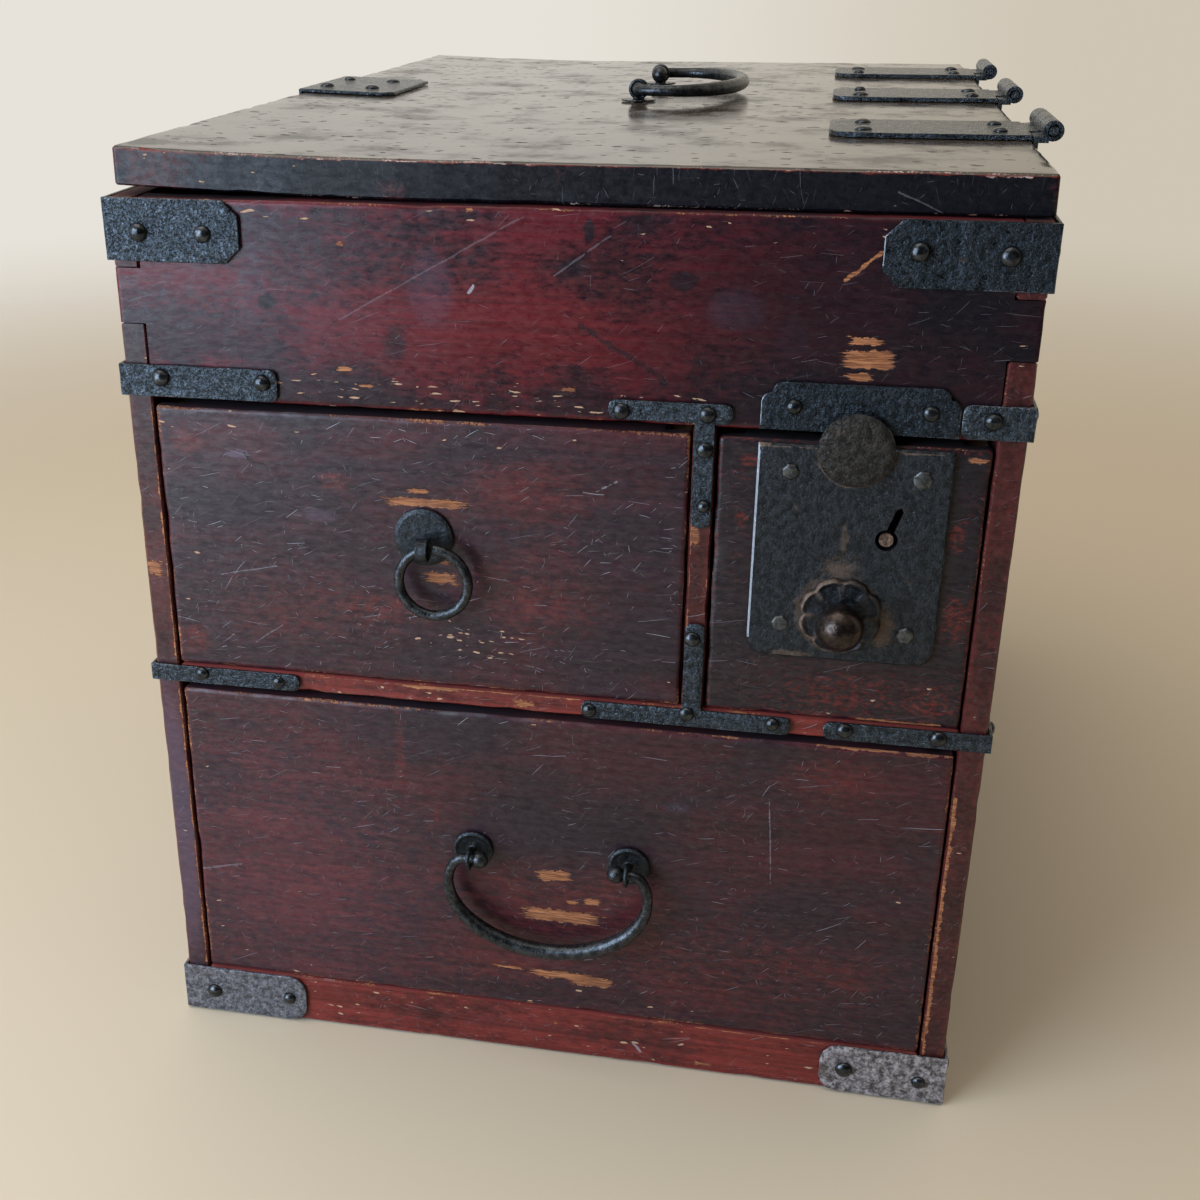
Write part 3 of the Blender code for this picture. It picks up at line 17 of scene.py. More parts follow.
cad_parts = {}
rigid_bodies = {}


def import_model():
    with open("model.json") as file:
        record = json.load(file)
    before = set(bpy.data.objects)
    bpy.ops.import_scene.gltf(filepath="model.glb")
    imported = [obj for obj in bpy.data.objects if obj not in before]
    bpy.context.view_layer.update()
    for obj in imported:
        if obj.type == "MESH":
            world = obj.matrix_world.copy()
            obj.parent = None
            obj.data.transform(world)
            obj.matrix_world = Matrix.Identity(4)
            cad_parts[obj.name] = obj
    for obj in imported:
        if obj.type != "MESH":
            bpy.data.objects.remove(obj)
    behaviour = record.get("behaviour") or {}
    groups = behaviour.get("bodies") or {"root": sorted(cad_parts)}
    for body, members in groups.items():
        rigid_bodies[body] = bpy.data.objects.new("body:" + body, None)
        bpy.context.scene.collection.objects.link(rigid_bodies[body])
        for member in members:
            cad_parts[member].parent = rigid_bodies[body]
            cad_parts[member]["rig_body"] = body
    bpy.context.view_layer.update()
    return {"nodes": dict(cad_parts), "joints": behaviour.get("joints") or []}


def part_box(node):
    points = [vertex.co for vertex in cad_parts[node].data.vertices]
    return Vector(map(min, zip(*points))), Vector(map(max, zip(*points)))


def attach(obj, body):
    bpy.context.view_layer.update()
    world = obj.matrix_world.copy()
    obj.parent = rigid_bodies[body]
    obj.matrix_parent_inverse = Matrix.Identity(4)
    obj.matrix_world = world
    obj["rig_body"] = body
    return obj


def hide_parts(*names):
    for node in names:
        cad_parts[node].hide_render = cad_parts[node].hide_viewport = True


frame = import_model()
LOG = logging.getLogger("calligraphy_box")

MM = 0.001
FRONT_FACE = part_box("lower_drawer_front")[0].y
IRON_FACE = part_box("strike_plate")[0].y
MERGE_GAP = 0.000002
CUT_GAP = 0.0000005
FLAT_ANGLE = 0.01
LEAF_THICKNESS = 1.6 * MM
POST_GRAIN = 0.16 * MM

Colour = tuple[float, float, float]
Spot = tuple[float, float]
Triple = tuple[float, float, float]
Socket = bpy.types.NodeSocket
Outputs = bpy.types.bpy_prop_collection
Material = bpy.types.Material
Piece = bpy.types.Object
Shell = bmesh.types.BMesh
Feed = Union[Socket, float, int, str, tuple]

ORIGIN = (0.0, 0.0, 0.0)
ONES = (1.0, 1.0, 1.0)
HALVES = (0.5, 0.5, 0.5)
FORWARD = (0.0, -1.0, 0.0)
BACKWARD = (0.0, 1.0, 0.0)
UPWARD = (0.0, 0.0, 1.0)
LEFTWARD = (-1.0, 0.0, 0.0)
RIGHTWARD = (1.0, 0.0, 0.0)


def show(thing: Piece) -> None:
    """Put an object into the scene."""
    bpy.context.scene.collection.objects.link(thing)


class Wiring:
    """Adds nodes to one node tree and links them."""

    def __init__(self, tree: bpy.types.NodeTree) -> None:
        """Keep the tree that is wired."""
        self.tree = tree

    def plug(self, socket: Socket, value: Feed) -> None:
        """Link a socket or set its own value.

        Args:
            socket: The input that is fed.
            value: Another node's output, or a plain value.
        """
        if isinstance(value, Socket):
            self.tree.links.new(value, socket)
        elif socket.type == "RGBA" and len(value) == 3:
            socket.default_value = (*value, 1.0)
        else:
            socket.default_value = value

    def add(self, kind: str, feeds: Optional[dict] = None, **settings: object) -> bpy.types.Node:
        """Add a node.

        Args:
            kind: Blender's name of the node type.
            feeds: What goes into its inputs, by name or number.
            settings: Values of the node's own options.

        Returns:
            The new node.
        """
        node = self.tree.nodes.new(kind)
        for option, value in settings.items():
            setattr(node, option, value)
        for key, value in (feeds or {}).items():
            self.plug(node.inputs[key], value)
        return node

    def calc(self, operation: str, *values: Feed) -> Socket:
        """Return the result of a sum on numbers."""
        return self.add("ShaderNodeMath", dict(enumerate(values)), operation=operation).outputs[0]

    def times(self, first: Feed, second: Feed) -> Socket:
        """Return the product of two numbers."""
        return self.calc("MULTIPLY", first, second)

    def times_plus(self, first: Feed, second: Feed, more: Feed) -> Socket:
        """Return the product of two numbers plus a third."""
        return self.calc("MULTIPLY_ADD", first, second, more)

    def plus(self, first: Feed, second: Feed) -> Socket:
        """Return the sum of two numbers."""
        return self.calc("ADD", first, second)

    def minus(self, first: Feed, second: Feed) -> Socket:
        """Return the difference of two numbers."""
        return self.calc("SUBTRACT", first, second)

    def aim(self, operation: str, *values: Feed) -> Socket:
        """Return the result of a sum on vectors."""
        node = self.add("ShaderNodeVectorMath", dict(enumerate(values)), operation=operation)
        gives_number = operation in {"LENGTH", "DOT_PRODUCT", "DISTANCE"}
        return node.outputs["Value" if gives_number else "Vector"]

    def scale(self, vector: Feed, by: Feed) -> Socket:
        """Return a vector or colour times a number."""
        feeds = {"Vector": vector, "Scale": by}
        return self.add("ShaderNodeVectorMath", feeds, operation="SCALE").outputs["Vector"]

    def parts(self, vector: Feed) -> list:
        """Return the three numbers of a vector."""
        return list(self.add("ShaderNodeSeparateXYZ", {0: vector}).outputs)

    def join(self, *values: Feed) -> Socket:
        """Return a vector made of up to three numbers."""
        return self.add("ShaderNodeCombineXYZ", dict(enumerate(values))).outputs[0]

    def ramp(self, value: Feed, low: Feed, high: Feed, start: float = 0.0, end: float = 1.0) -> Socket:
        """Return a smooth step.

        Args:
            value: The number that is stepped.
            low: Where the step starts.
            high: Where it ends.
            start: The result below low.
            end: The result above high.

        Returns:
            The stepped number.
        """
        feeds = {"Value": value, "From Min": low, "From Max": high, "To Min": start, "To Max": end}
        return self.add("ShaderNodeMapRange", feeds, interpolation_type="SMOOTHSTEP").outputs[0]

    def blend(self, share: Feed, first: Feed, second: Feed) -> Socket:
        """Return a colour between two colours."""
        node = self.add("ShaderNodeMix", data_type="RGBA")
        for index, value in ((0, share), (6, first), (7, second)):
            self.plug(node.inputs[index], value)
        return node.outputs[2]

    def either(self, share: Feed, first: Feed, second: Feed) -> Socket:
        """Return a vector between two vectors."""
        node = self.add("ShaderNodeMix", data_type="VECTOR")
        for index, value in ((0, share), (4, first), (5, second)):
            self.plug(node.inputs[index], value)
        return node.outputs[1]

    def cloud(self, spot: Feed, scale: Feed, detail: float = 2.0, rough: float = 0.5) -> Socket:
        """Return even noise.

        Args:
            spot: Where it is read.
            scale: How many lumps fit in one unit.
            detail: How many finer layers it has.
            rough: How strong the finer layers are.

        Returns:
            A number round 0.5.
        """
        feeds = {"Vector": spot, "Scale": scale, "Detail": detail, "Roughness": rough}
        return self.add("ShaderNodeTexNoise", feeds).outputs[0]

    def jitter(self, spot: Feed, scale: float, detail: float) -> Socket:
        """Return noise as a vector round zero."""
        feeds = {"Vector": spot, "Scale": scale, "Detail": detail}
        return self.aim("SUBTRACT", self.add("ShaderNodeTexNoise", feeds).outputs["Color"], HALVES)

    def shake(self, base: Feed, noise_value: Feed, swing: Feed) -> Socket:
        """Return a number shaken by noise that lies round 0.5."""
        return self.calc("MULTIPLY_ADD", self.calc("SUBTRACT", noise_value, 0.5), swing, base)

    def cells(self, spot: Feed) -> bpy.types.Node:
        """Return a flat scatter of cells, one to each unit."""
        return self.add("ShaderNodeTexVoronoi", {"Vector": spot, "Scale": 1.0}, voronoi_dimensions="2D")

    def most(self, *values: Feed) -> Feed:
        """Return the largest of some masks."""
        result = values[0]
        for value in values[1:]:
            result = self.calc("MAXIMUM", result, value)
        return result

    def total(self, *values: Feed) -> Feed:
        """Return the sum of some numbers."""
        result = values[0]
        for value in values[1:]:
            result = self.calc("ADD", result, value)
        return result

    def effect(self, effect: type, **feeds: Feed) -> Outputs:
        """Place a shared effect.

        Args:
            effect: The class of the effect.
            feeds: What goes into its named inputs.

        Returns:
            Its outputs, by name.
        """
        node = self.add("ShaderNodeGroup", node_tree=effect.tree())
        for name, value in feeds.items():
            self.plug(node.inputs[name], value)
        return node.outputs


class Effect:
    """A shader node group with named inputs and outputs that several finishes place."""

    title: ClassVar[str] = ""
    inputs: ClassVar[dict] = {}
    outputs: ClassVar[tuple] = ()

    @classmethod
    def wire(cls, w: Wiring, given: Outputs) -> dict:
        """Wire the group and return what goes to each output."""
        raise NotImplementedError

    @classmethod
    def tree(cls) -> bpy.types.NodeTree:
        """Return the group, made on first use."""
        made = bpy.data.node_groups.get(cls.title)
        if made is not None:
            return made
        made = bpy.data.node_groups.new(cls.title, "ShaderNodeTree")
        for name, value in cls.inputs.items():
            kind = "NodeSocketVector" if isinstance(value, tuple) else "NodeSocketFloat"
            socket = made.interface.new_socket(name=name, in_out="INPUT", socket_type=kind)
            socket.default_value = value
        for name in cls.outputs:
            made.interface.new_socket(name=name, in_out="OUTPUT", socket_type="NodeSocketFloat")
        w = Wiring(made)
        source = w.add("NodeGroupInput")
        sink = w.add("NodeGroupOutput")
        for name, value in cls.wire(w, source.outputs).items():
            w.plug(sink.inputs[name], value)
        return made


class WoodGrain(Effect):
    """Streaks, broad clouds, rubbed mottle and pores along the grain of a board."""

    title = "wood_grain"
    inputs = {"Place": ORIGIN, "Stretch": ONES, "Shift": ORIGIN, "Fineness": 9.0}
    outputs = ("Streak", "Cloud", "Mottle", "Pore")

    @classmethod
    def wire(cls, w: Wiring, given: Outputs) -> dict:
        """Read noise in one space that is long along the grain and in one that is a little so."""
        spot = w.aim("MULTIPLY_ADD", given["Place"], given["Stretch"], given["Shift"])
        streak = w.cloud(spot, 1.0, 5.0, 0.62)
        pore = w.cloud(w.aim("ADD", spot, (3.1, 9.4, 1.2)), 2.6, 2.0, 0.5)
        loose = w.aim("MULTIPLY_ADD", given["Stretch"], (0.03, 0.03, 0.03), (0.02, 0.02, 0.02))
        broad = w.aim("MULTIPLY_ADD", given["Place"], loose, given["Shift"])
        return {
            "Streak": w.ramp(streak, 0.3, 0.7),
            "Cloud": w.ramp(w.cloud(broad, 1.0, 4.0, 0.55), 0.34, 0.66),
            "Mottle": w.ramp(w.cloud(broad, given["Fineness"], 6.0, 0.68), 0.32, 0.68),
            "Pore": w.ramp(pore, 0.6, 0.7),
        }


class EdgeWear(Effect):
    """Ragged bare line, rubbed rim and soft band along the edges of a board or plate."""

    title = "edge_wear"
    inputs = {"Place": ORIGIN, "Centre": ORIGIN, "Half": ONES, "Reach": 1.0}
    outputs = ("Line", "Band", "Rim")

    @classmethod
    def wire(cls, w: Wiring, given: Outputs) -> dict:
        """Measure the way to the nearest edge, which is the middle one of the three ways to a face."""
        away = w.aim("ABSOLUTE", w.aim("SUBTRACT", given["Place"], given["Centre"]))
        one, two, three = w.parts(w.aim("SUBTRACT", given["Half"], away))
        low = w.calc("MINIMUM", one, two)
        high = w.calc("MAXIMUM", one, two)
        edge = w.calc("MAXIMUM", low, w.calc("MINIMUM", high, three))
        patchy = w.ramp(w.cloud(given["Place"], 0.045, 3.0, 0.6), 0.36, 0.66)
        ragged = w.cloud(given["Place"], 1.3, 4.0, 0.7)
        uneven = w.times(patchy, w.ramp(ragged, 0.32, 0.7, 0.1, 1.6))
        need = w.times(given["Reach"], uneven)
        rubbed = w.shake(edge, ragged, 2.4)
        return {
            "Line": w.ramp(w.minus(need, edge), 0.0, 0.12),
            "Band": w.ramp(edge, 0.0, 14.0, 1.0, 0.0),
            "Rim": w.ramp(rubbed, 0.2, 2.0, 1.0, 0.0),
        }


class ScratchField(Effect):
    """Clumps of fine scratches, each with its own lean, length and depth."""

    title = "scratch_field"
    inputs = {
        "Flat": ORIGIN,
        "Cell": 10.0,
        "Length": 8.0,
        "Width": 0.15,
        "Lean": 0.3,
        "Spread": 1.0,
        "Share": 0.5,
    }
    outputs = ("Mask",)

    @classmethod
    def wire(cls, w: Wiring, given: Outputs) -> dict:
        """Draw one tapered line through the middle of each cell."""
        bent = w.aim("ADD", given["Flat"], w.scale(w.jitter(given["Flat"], 0.09, 1.0), 1.5))
        spot = w.scale(bent, w.calc("DIVIDE", 1.0, given["Cell"]))
        cell = w.cells(spot)
        chance = w.add("ShaderNodeSeparateColor", {0: cell.outputs["Color"]}).outputs
        x, y, _ = w.parts(w.scale(w.aim("SUBTRACT", spot, cell.outputs["Position"]), given["Cell"]))
        turn = w.shake(given["Lean"], chance[0], given["Spread"])
        sine = w.calc("SINE", turn)
        cosine = w.calc("COSINE", turn)
        along = w.plus(w.times(x, cosine), w.times(y, sine))
        across = w.minus(w.times(y, cosine), w.times(x, sine))
        reach = w.times(given["Length"], w.times_plus(chance[1], 0.4, 0.12))
        spent = w.calc("DIVIDE", along, reach)
        taper = w.calc("MAXIMUM", w.minus(1.0, w.times(spent, spent)), 0.0)
        width = w.times(given["Width"], w.times_plus(chance[2], 0.9, 0.35))
        gap = w.calc("DIVIDE", w.calc("ABSOLUTE", across), w.times_plus(width, taper, 0.0001))
        clump = w.ramp(w.cloud(given["Flat"], 0.035, 3.0), 0.4, 0.64, 0.06, 1.0)
        share = w.times(given["Share"], clump)
        shown = w.calc("LESS_THAN", w.calc("FRACT", w.times(chance[2], 7.31)), share)
        bold = w.times_plus(w.calc("POWER", chance[1], 4.0), 0.92, 0.08)
        strength = w.times(shown, bold)
        return {"Mask": w.times(w.ramp(gap, 0.3, 1.0, 1.0, 0.0), strength)}


class Blot(Effect):
    """One soft or ragged spot at a given place."""

    title = "blot"
    inputs = {"Flat": ORIGIN, "Centre": ORIGIN, "Size": ONES, "Ragged": 0.4, "Soft": 0.1}
    outputs = ("Mask",)

    @classmethod
    def wire(cls, w: Wiring, given: Outputs) -> dict:
        """Measure the way from the middle in sizes of the spot and shake it."""
        away = w.aim("DIVIDE", w.aim("SUBTRACT", given["Flat"], given["Centre"]), given["Size"])
        rough = w.cloud(w.aim("MULTIPLY", given["Flat"], (0.26, 0.42, 1.0)), 1.0, 5.0, 0.62)
        swing = w.times(given["Ragged"], 4.0)
        shaken = w.shake(w.aim("LENGTH", away), rough, swing)
        low = w.minus(1.0, given["Soft"])
        high = w.plus(1.0, given["Soft"])
        return {"Mask": w.ramp(shaken, low, high, 1.0, 0.0)}


class TornPatch(Effect):
    """One patch of lost lacquer, straight along the grain and torn at its ends."""

    title = "torn_patch"
    inputs = {"Flat": ORIGIN, "Centre": ORIGIN, "Size": ONES, "Ragged": 0.4}
    outputs = ("Mask",)

    @classmethod
    def wire(cls, w: Wiring, given: Outputs) -> dict:
        """Measure the way from the middle as a block whose rows start and end unevenly."""
        away = w.aim("DIVIDE", w.aim("SUBTRACT", given["Flat"], given["Centre"]), given["Size"])
        x, y, _ = w.parts(w.aim("ABSOLUTE", away))
        rows = w.cloud(w.aim("MULTIPLY", given["Flat"], (0.13, 2.2, 1.0)), 1.0, 3.0, 0.6)
        lumps = w.cloud(w.aim("MULTIPLY", given["Flat"], (0.42, 0.3, 1.0)), 1.0, 4.0, 0.65)
        fine = w.cloud(w.aim("MULTIPLY", given["Flat"], (0.8, 2.4, 1.0)), 1.0, 4.0, 0.7)
        ends = w.shake(x, rows, w.times(given["Ragged"], 6.0))
        sides = w.shake(y, lumps, w.times(given["Ragged"], 6.5))
        block = w.calc("SMOOTH_MAX", ends, sides, 0.35)
        shaken = w.shake(block, fine, w.times(given["Ragged"], 2.6))
        return {"Mask": w.ramp(shaken, 0.78, 0.9, 1.0, 0.0)}


class ScoreLine(Effect):
    """One long score or worn line between two spots."""

    title = "score_line"
    inputs = {"Flat": ORIGIN, "Start": ORIGIN, "End": RIGHTWARD, "Width": 0.3, "Ragged": 0.5}
    outputs = ("Mask",)

    @classmethod
    def wire(cls, w: Wiring, given: Outputs) -> dict:
        """Measure the way to the line, which wavers, and compare it with a width that varies."""
        waver = w.jitter(given["Flat"], 0.16, 2.0)
        bend = w.scale(waver, w.times(given["Width"], 2.6))
        run = w.aim("SUBTRACT", given["End"], given["Start"])
        away = w.aim("ADD", w.aim("SUBTRACT", given["Flat"], given["Start"]), bend)
        part = w.calc("DIVIDE", w.aim("DOT_PRODUCT", away, run), w.aim("DOT_PRODUCT", run, run))
        part = w.calc("MINIMUM", w.calc("MAXIMUM", part, 0.0), 1.0)
        gap = w.aim("LENGTH", w.aim("SUBTRACT", away, w.scale(run, part)))
        uneven = w.cloud(given["Flat"], 0.45, 5.0, 0.7)
        share = w.shake(1.0, uneven, w.times(given["Ragged"], 7.0))
        width = w.times(given["Width"], share)
        return {"Mask": w.ramp(w.minus(width, gap), 0.0, 0.15)}


class Flecks(Effect):
    """Short chips of lost lacquer that lie along the grain."""

    title = "flecks"
    inputs = {"Flat": ORIGIN, "Share": 0.2, "Cell": (3.0, 0.95, 1.0)}
    outputs = ("Mask",)

    @classmethod
    def wire(cls, w: Wiring, given: Outputs) -> dict:
        """Draw a ragged fleck in a share of the cells."""
        strewn = w.aim("ADD", given["Flat"], w.scale(w.jitter(given["Flat"], 0.07, 1.0), 5.0))
        spot = w.aim("DIVIDE", strewn, given["Cell"])
        rough = w.cloud(spot, 3.4, 4.0, 0.7)
        cell = w.cells(spot)
        chance = w.add("ShaderNodeSeparateColor", {0: cell.outputs["Color"]}).outputs
        size = w.times(chance[1], w.times(chance[1], 0.42))
        gap = w.shake(cell.outputs["Distance"], rough, 0.7)
        drawn = w.ramp(w.minus(size, gap), 0.0, 0.06)
        return {"Mask": w.times(drawn, w.calc("LESS_THAN", chance[0], given["Share"]))}


class IronSkin(Effect):
    """Tone, pits, bright specks and rust of forged iron."""

    title = "iron_skin"
    inputs = {"Place": ORIGIN, "Rust": 0.3}
    outputs = ("Tone", "Pits", "Specks", "Rust")

    @classmethod
    def wire(cls, w: Wiring, given: Outputs) -> dict:
        """Read noise at the sizes of hammer marks, pits and specks."""
        tone = w.cloud(given["Place"], 0.48, 5.0, 0.64)
        pits = w.cloud(w.aim("ADD", given["Place"], (31.0, 7.0, 13.0)), 1.3, 4.0, 0.65)
        specks = w.cloud(w.aim("ADD", given["Place"], (3.0, 41.0, 23.0)), 3.1, 2.0, 0.7)
        rust = w.cloud(w.aim("ADD", given["Place"], (17.0, 5.0, 61.0)), 0.2, 6.0, 0.7)
        edge = w.minus(0.82, w.times(given["Rust"], 0.4))
        return {
            "Tone": w.ramp(tone, 0.34, 0.68),
            "Pits": w.ramp(pits, 0.5, 0.66),
            "Specks": w.ramp(specks, 0.62, 0.72),
            "Rust": w.ramp(rust, w.minus(edge, 0.1), w.plus(edge, 0.1)),
        }


class Wear(Enum):
    """What a mark on a surface is."""

    BARE = "lacquer gone, wood bare"
    WORN = "line of bare wood along an edge"
    RED = "undercoat of red showing"
    # Also painted sheen: broad soft marks of this bloom brighten the left of some fronts, where the lamp's
    # light glances off the lacquer.
    BLOOM_AND_SHEEN = "milky bloom on the lacquer"
    DARK = "dark stain"
    SCORE = "pale score"
    GOUGE = "dark gouge"
    FLECKED = "zone of flecks"
    RUST = "rust or settled dust"


@dataclass(frozen=True)
class Mark:
    """One mark at a spot of the front, in millimetres across and up."""

    wear: Wear
    at: Spot
    size: Spot = (1.0, 1.0)
    to: Optional[Spot] = None
    ragged: float = 0.35
    soft: float = 0.12
    strength: float = 1.0

    def mask(self, w: Wiring, flat: Feed) -> Socket:
        """Place the mark in a material.

        Args:
            w: The material's wiring.
            flat: The flat coordinates that it lies in.

        Returns:
            Its mask.
        """
        if self.to is not None:
            ends = {"Start": (*self.at, 0.0), "End": (*self.to, 0.0)}
            found = w.effect(ScoreLine, Flat=flat, Width=self.size[0], Ragged=self.ragged, **ends)
        else:
            spot = {"Flat": flat, "Centre": (*self.at, 0.0), "Size": (*self.size, 1.0)}
            if self.wear is Wear.BARE:
                found = w.effect(TornPatch, Ragged=self.ragged, **spot)
            else:
                found = w.effect(Blot, Ragged=self.ragged, Soft=self.soft, **spot)
        return w.times(found["Mask"], self.strength)


class Grain(Enum):
    """The way that the grain of a board runs, as cycles of streak to the millimetre."""

    ALONG_X = (0.014, 0.75, 0.75)
    ALONG_Y = (0.75, 0.014, 0.75)
    ALONG_Z = (0.75, 0.75, 0.014)


@dataclass(frozen=True)
class Curl:
    """How the lid lifts towards its left edge, in metres."""

    left: float
    length: float = 0.09
    rise: float = 0.002

    def lift(self, across: float) -> float:
        """Return how far the lid has lifted at a distance across the box."""
        past = max(0.0, self.left + self.length - across) / self.length
        return self.rise * past * past

    def flatten(self, w: Wiring, place: Feed) -> Socket:
        """Return a place in millimetres with the lift taken out."""
        x, y, z = w.parts(place)
        end = (self.left + self.length) / MM
        past = w.calc("MAXIMUM", w.calc("DIVIDE", w.minus(end, x), self.length / MM), 0.0)
        lift = w.times(w.times(past, past), self.rise / MM)
        return w.join(x, y, w.minus(z, lift))


@dataclass
class Surface:
    """The start of a material: its wiring, its shader and where a point of the piece lies."""

    name: str
    material: Material = field(init=False)

    def __post_init__(self) -> None:
        """Make the material and read the piece's own coordinates."""
        self.material = bpy.data.materials.new(self.name)
        self.material.use_nodes = True
        self.w = Wiring(self.material.node_tree)
        self.shader = self.material.node_tree.nodes["Principled BSDF"]
        source = self.w.add("ShaderNodeTexCoord").outputs
        self.place = self.w.scale(source["Object"], 1.0 / MM)
        self.normal = source["Normal"]

    def flat(self, place: Feed) -> Socket:
        """Return the two coordinates that lie in the face: across and up on the front."""
        w = self.w
        x, y, z = w.parts(place)
        across, _, up = w.parts(w.aim("ABSOLUTE", self.normal))
        on_side = w.calc("GREATER_THAN", across, 0.7)
        on_top = w.calc("GREATER_THAN", up, 0.7)
        face = w.either(on_side, w.join(x, z, 0.0), w.join(y, z, 0.0))
        return w.either(on_top, face, w.join(x, y, 0.0))

    def facing(self, way: Triple, limit: float) -> Socket:
        """Return a mask of the faces that look a given way."""
        return self.w.calc("GREATER_THAN", self.w.aim("DOT_PRODUCT", self.normal, way), limit)

    def edges(self, place: Feed, corners: tuple, reach: float) -> Outputs:
        """Place the wear along the edges of a block.

        Args:
            place: The point of the piece, in millimetres.
            corners: The lowest and highest corner of the block, in metres.
            reach: How far the bare line reaches in from an edge, in millimetres.

        Returns:
            The outputs of the effect, by name.
        """
        low, high = (corner / MM for corner in corners)
        block = {"Centre": tuple((low + high) / 2), "Half": tuple((high - low) / 2)}
        return self.w.effect(EdgeWear, Place=place, Reach=reach, **block)

    def finish(self, colour: Feed, roughness: Feed, height: Feed, relief: float) -> Material:
        """Feed the shader.

        Args:
            colour: The base colour.
            roughness: The roughness.
            height: The height of the fine relief, from 0 to 1.
            relief: How deep that relief is, in metres.

        Returns:
            The finished material.
        """
        bump = self.w.add("ShaderNodeBump", {"Height": height, "Distance": relief, "Strength": 1.0})
        self.w.plug(self.shader.inputs["Base Color"], colour)
        self.w.plug(self.shader.inputs["Roughness"], roughness)
        self.w.plug(self.shader.inputs["Normal"], bump.outputs["Normal"])
        return self.material


@dataclass(frozen=True)
class BareWood:
    """Unlacquered wood, darkened by age, as inside the drawers."""

    pale: Colour = (0.46, 0.29, 0.155)
    brown: Colour = (0.27, 0.15, 0.072)
    roughness: float = 0.72

    def colour(self, w: Wiring, streak: Feed, cloud: Feed) -> Socket:
        """Return the colour of the wood from its streaks and clouds."""
        share = w.times_plus(streak, 0.6, w.times(cloud, 0.35))
        return w.blend(share, self.pale, self.brown)

    def material(self, name: str, grain: Grain) -> Material:
        """Return the wood's material with its grain along a given way."""
        surface = Surface(name)
        w = surface.w
        found = w.effect(WoodGrain, Place=surface.place, Stretch=grain.value)
        colour = self.colour(w, found["Streak"], found["Cloud"])
        colour = w.blend(w.times(found["Pore"], 0.45), colour, (0.11, 0.055, 0.026))
        handled = w.ramp(w.cloud(surface.place, 0.02, 3.0), 0.45, 0.75)
        colour = w.blend(w.times(handled, 0.35), colour, (0.16, 0.09, 0.05))
        roughness = w.ramp(found["Streak"], 0.0, 1.0, self.roughness - 0.08, self.roughness + 0.1)
        height = w.minus(found["Streak"], found["Pore"])
        return surface.finish(colour, roughness, height, 0.00006)


@dataclass(frozen=True)
class Board:
    """Where a board lies and which of its faces are lacquered."""

    node: str
    grain: Grain
    outward: Triple
    limit: float = -0.5
    curl: Optional[Curl] = None

    def corners(self) -> tuple:
        """Return the lowest and highest corner of the board, lying flat."""
        low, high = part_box(self.node)
        if self.curl is not None:
            high.z -= self.curl.rise
        return low, high


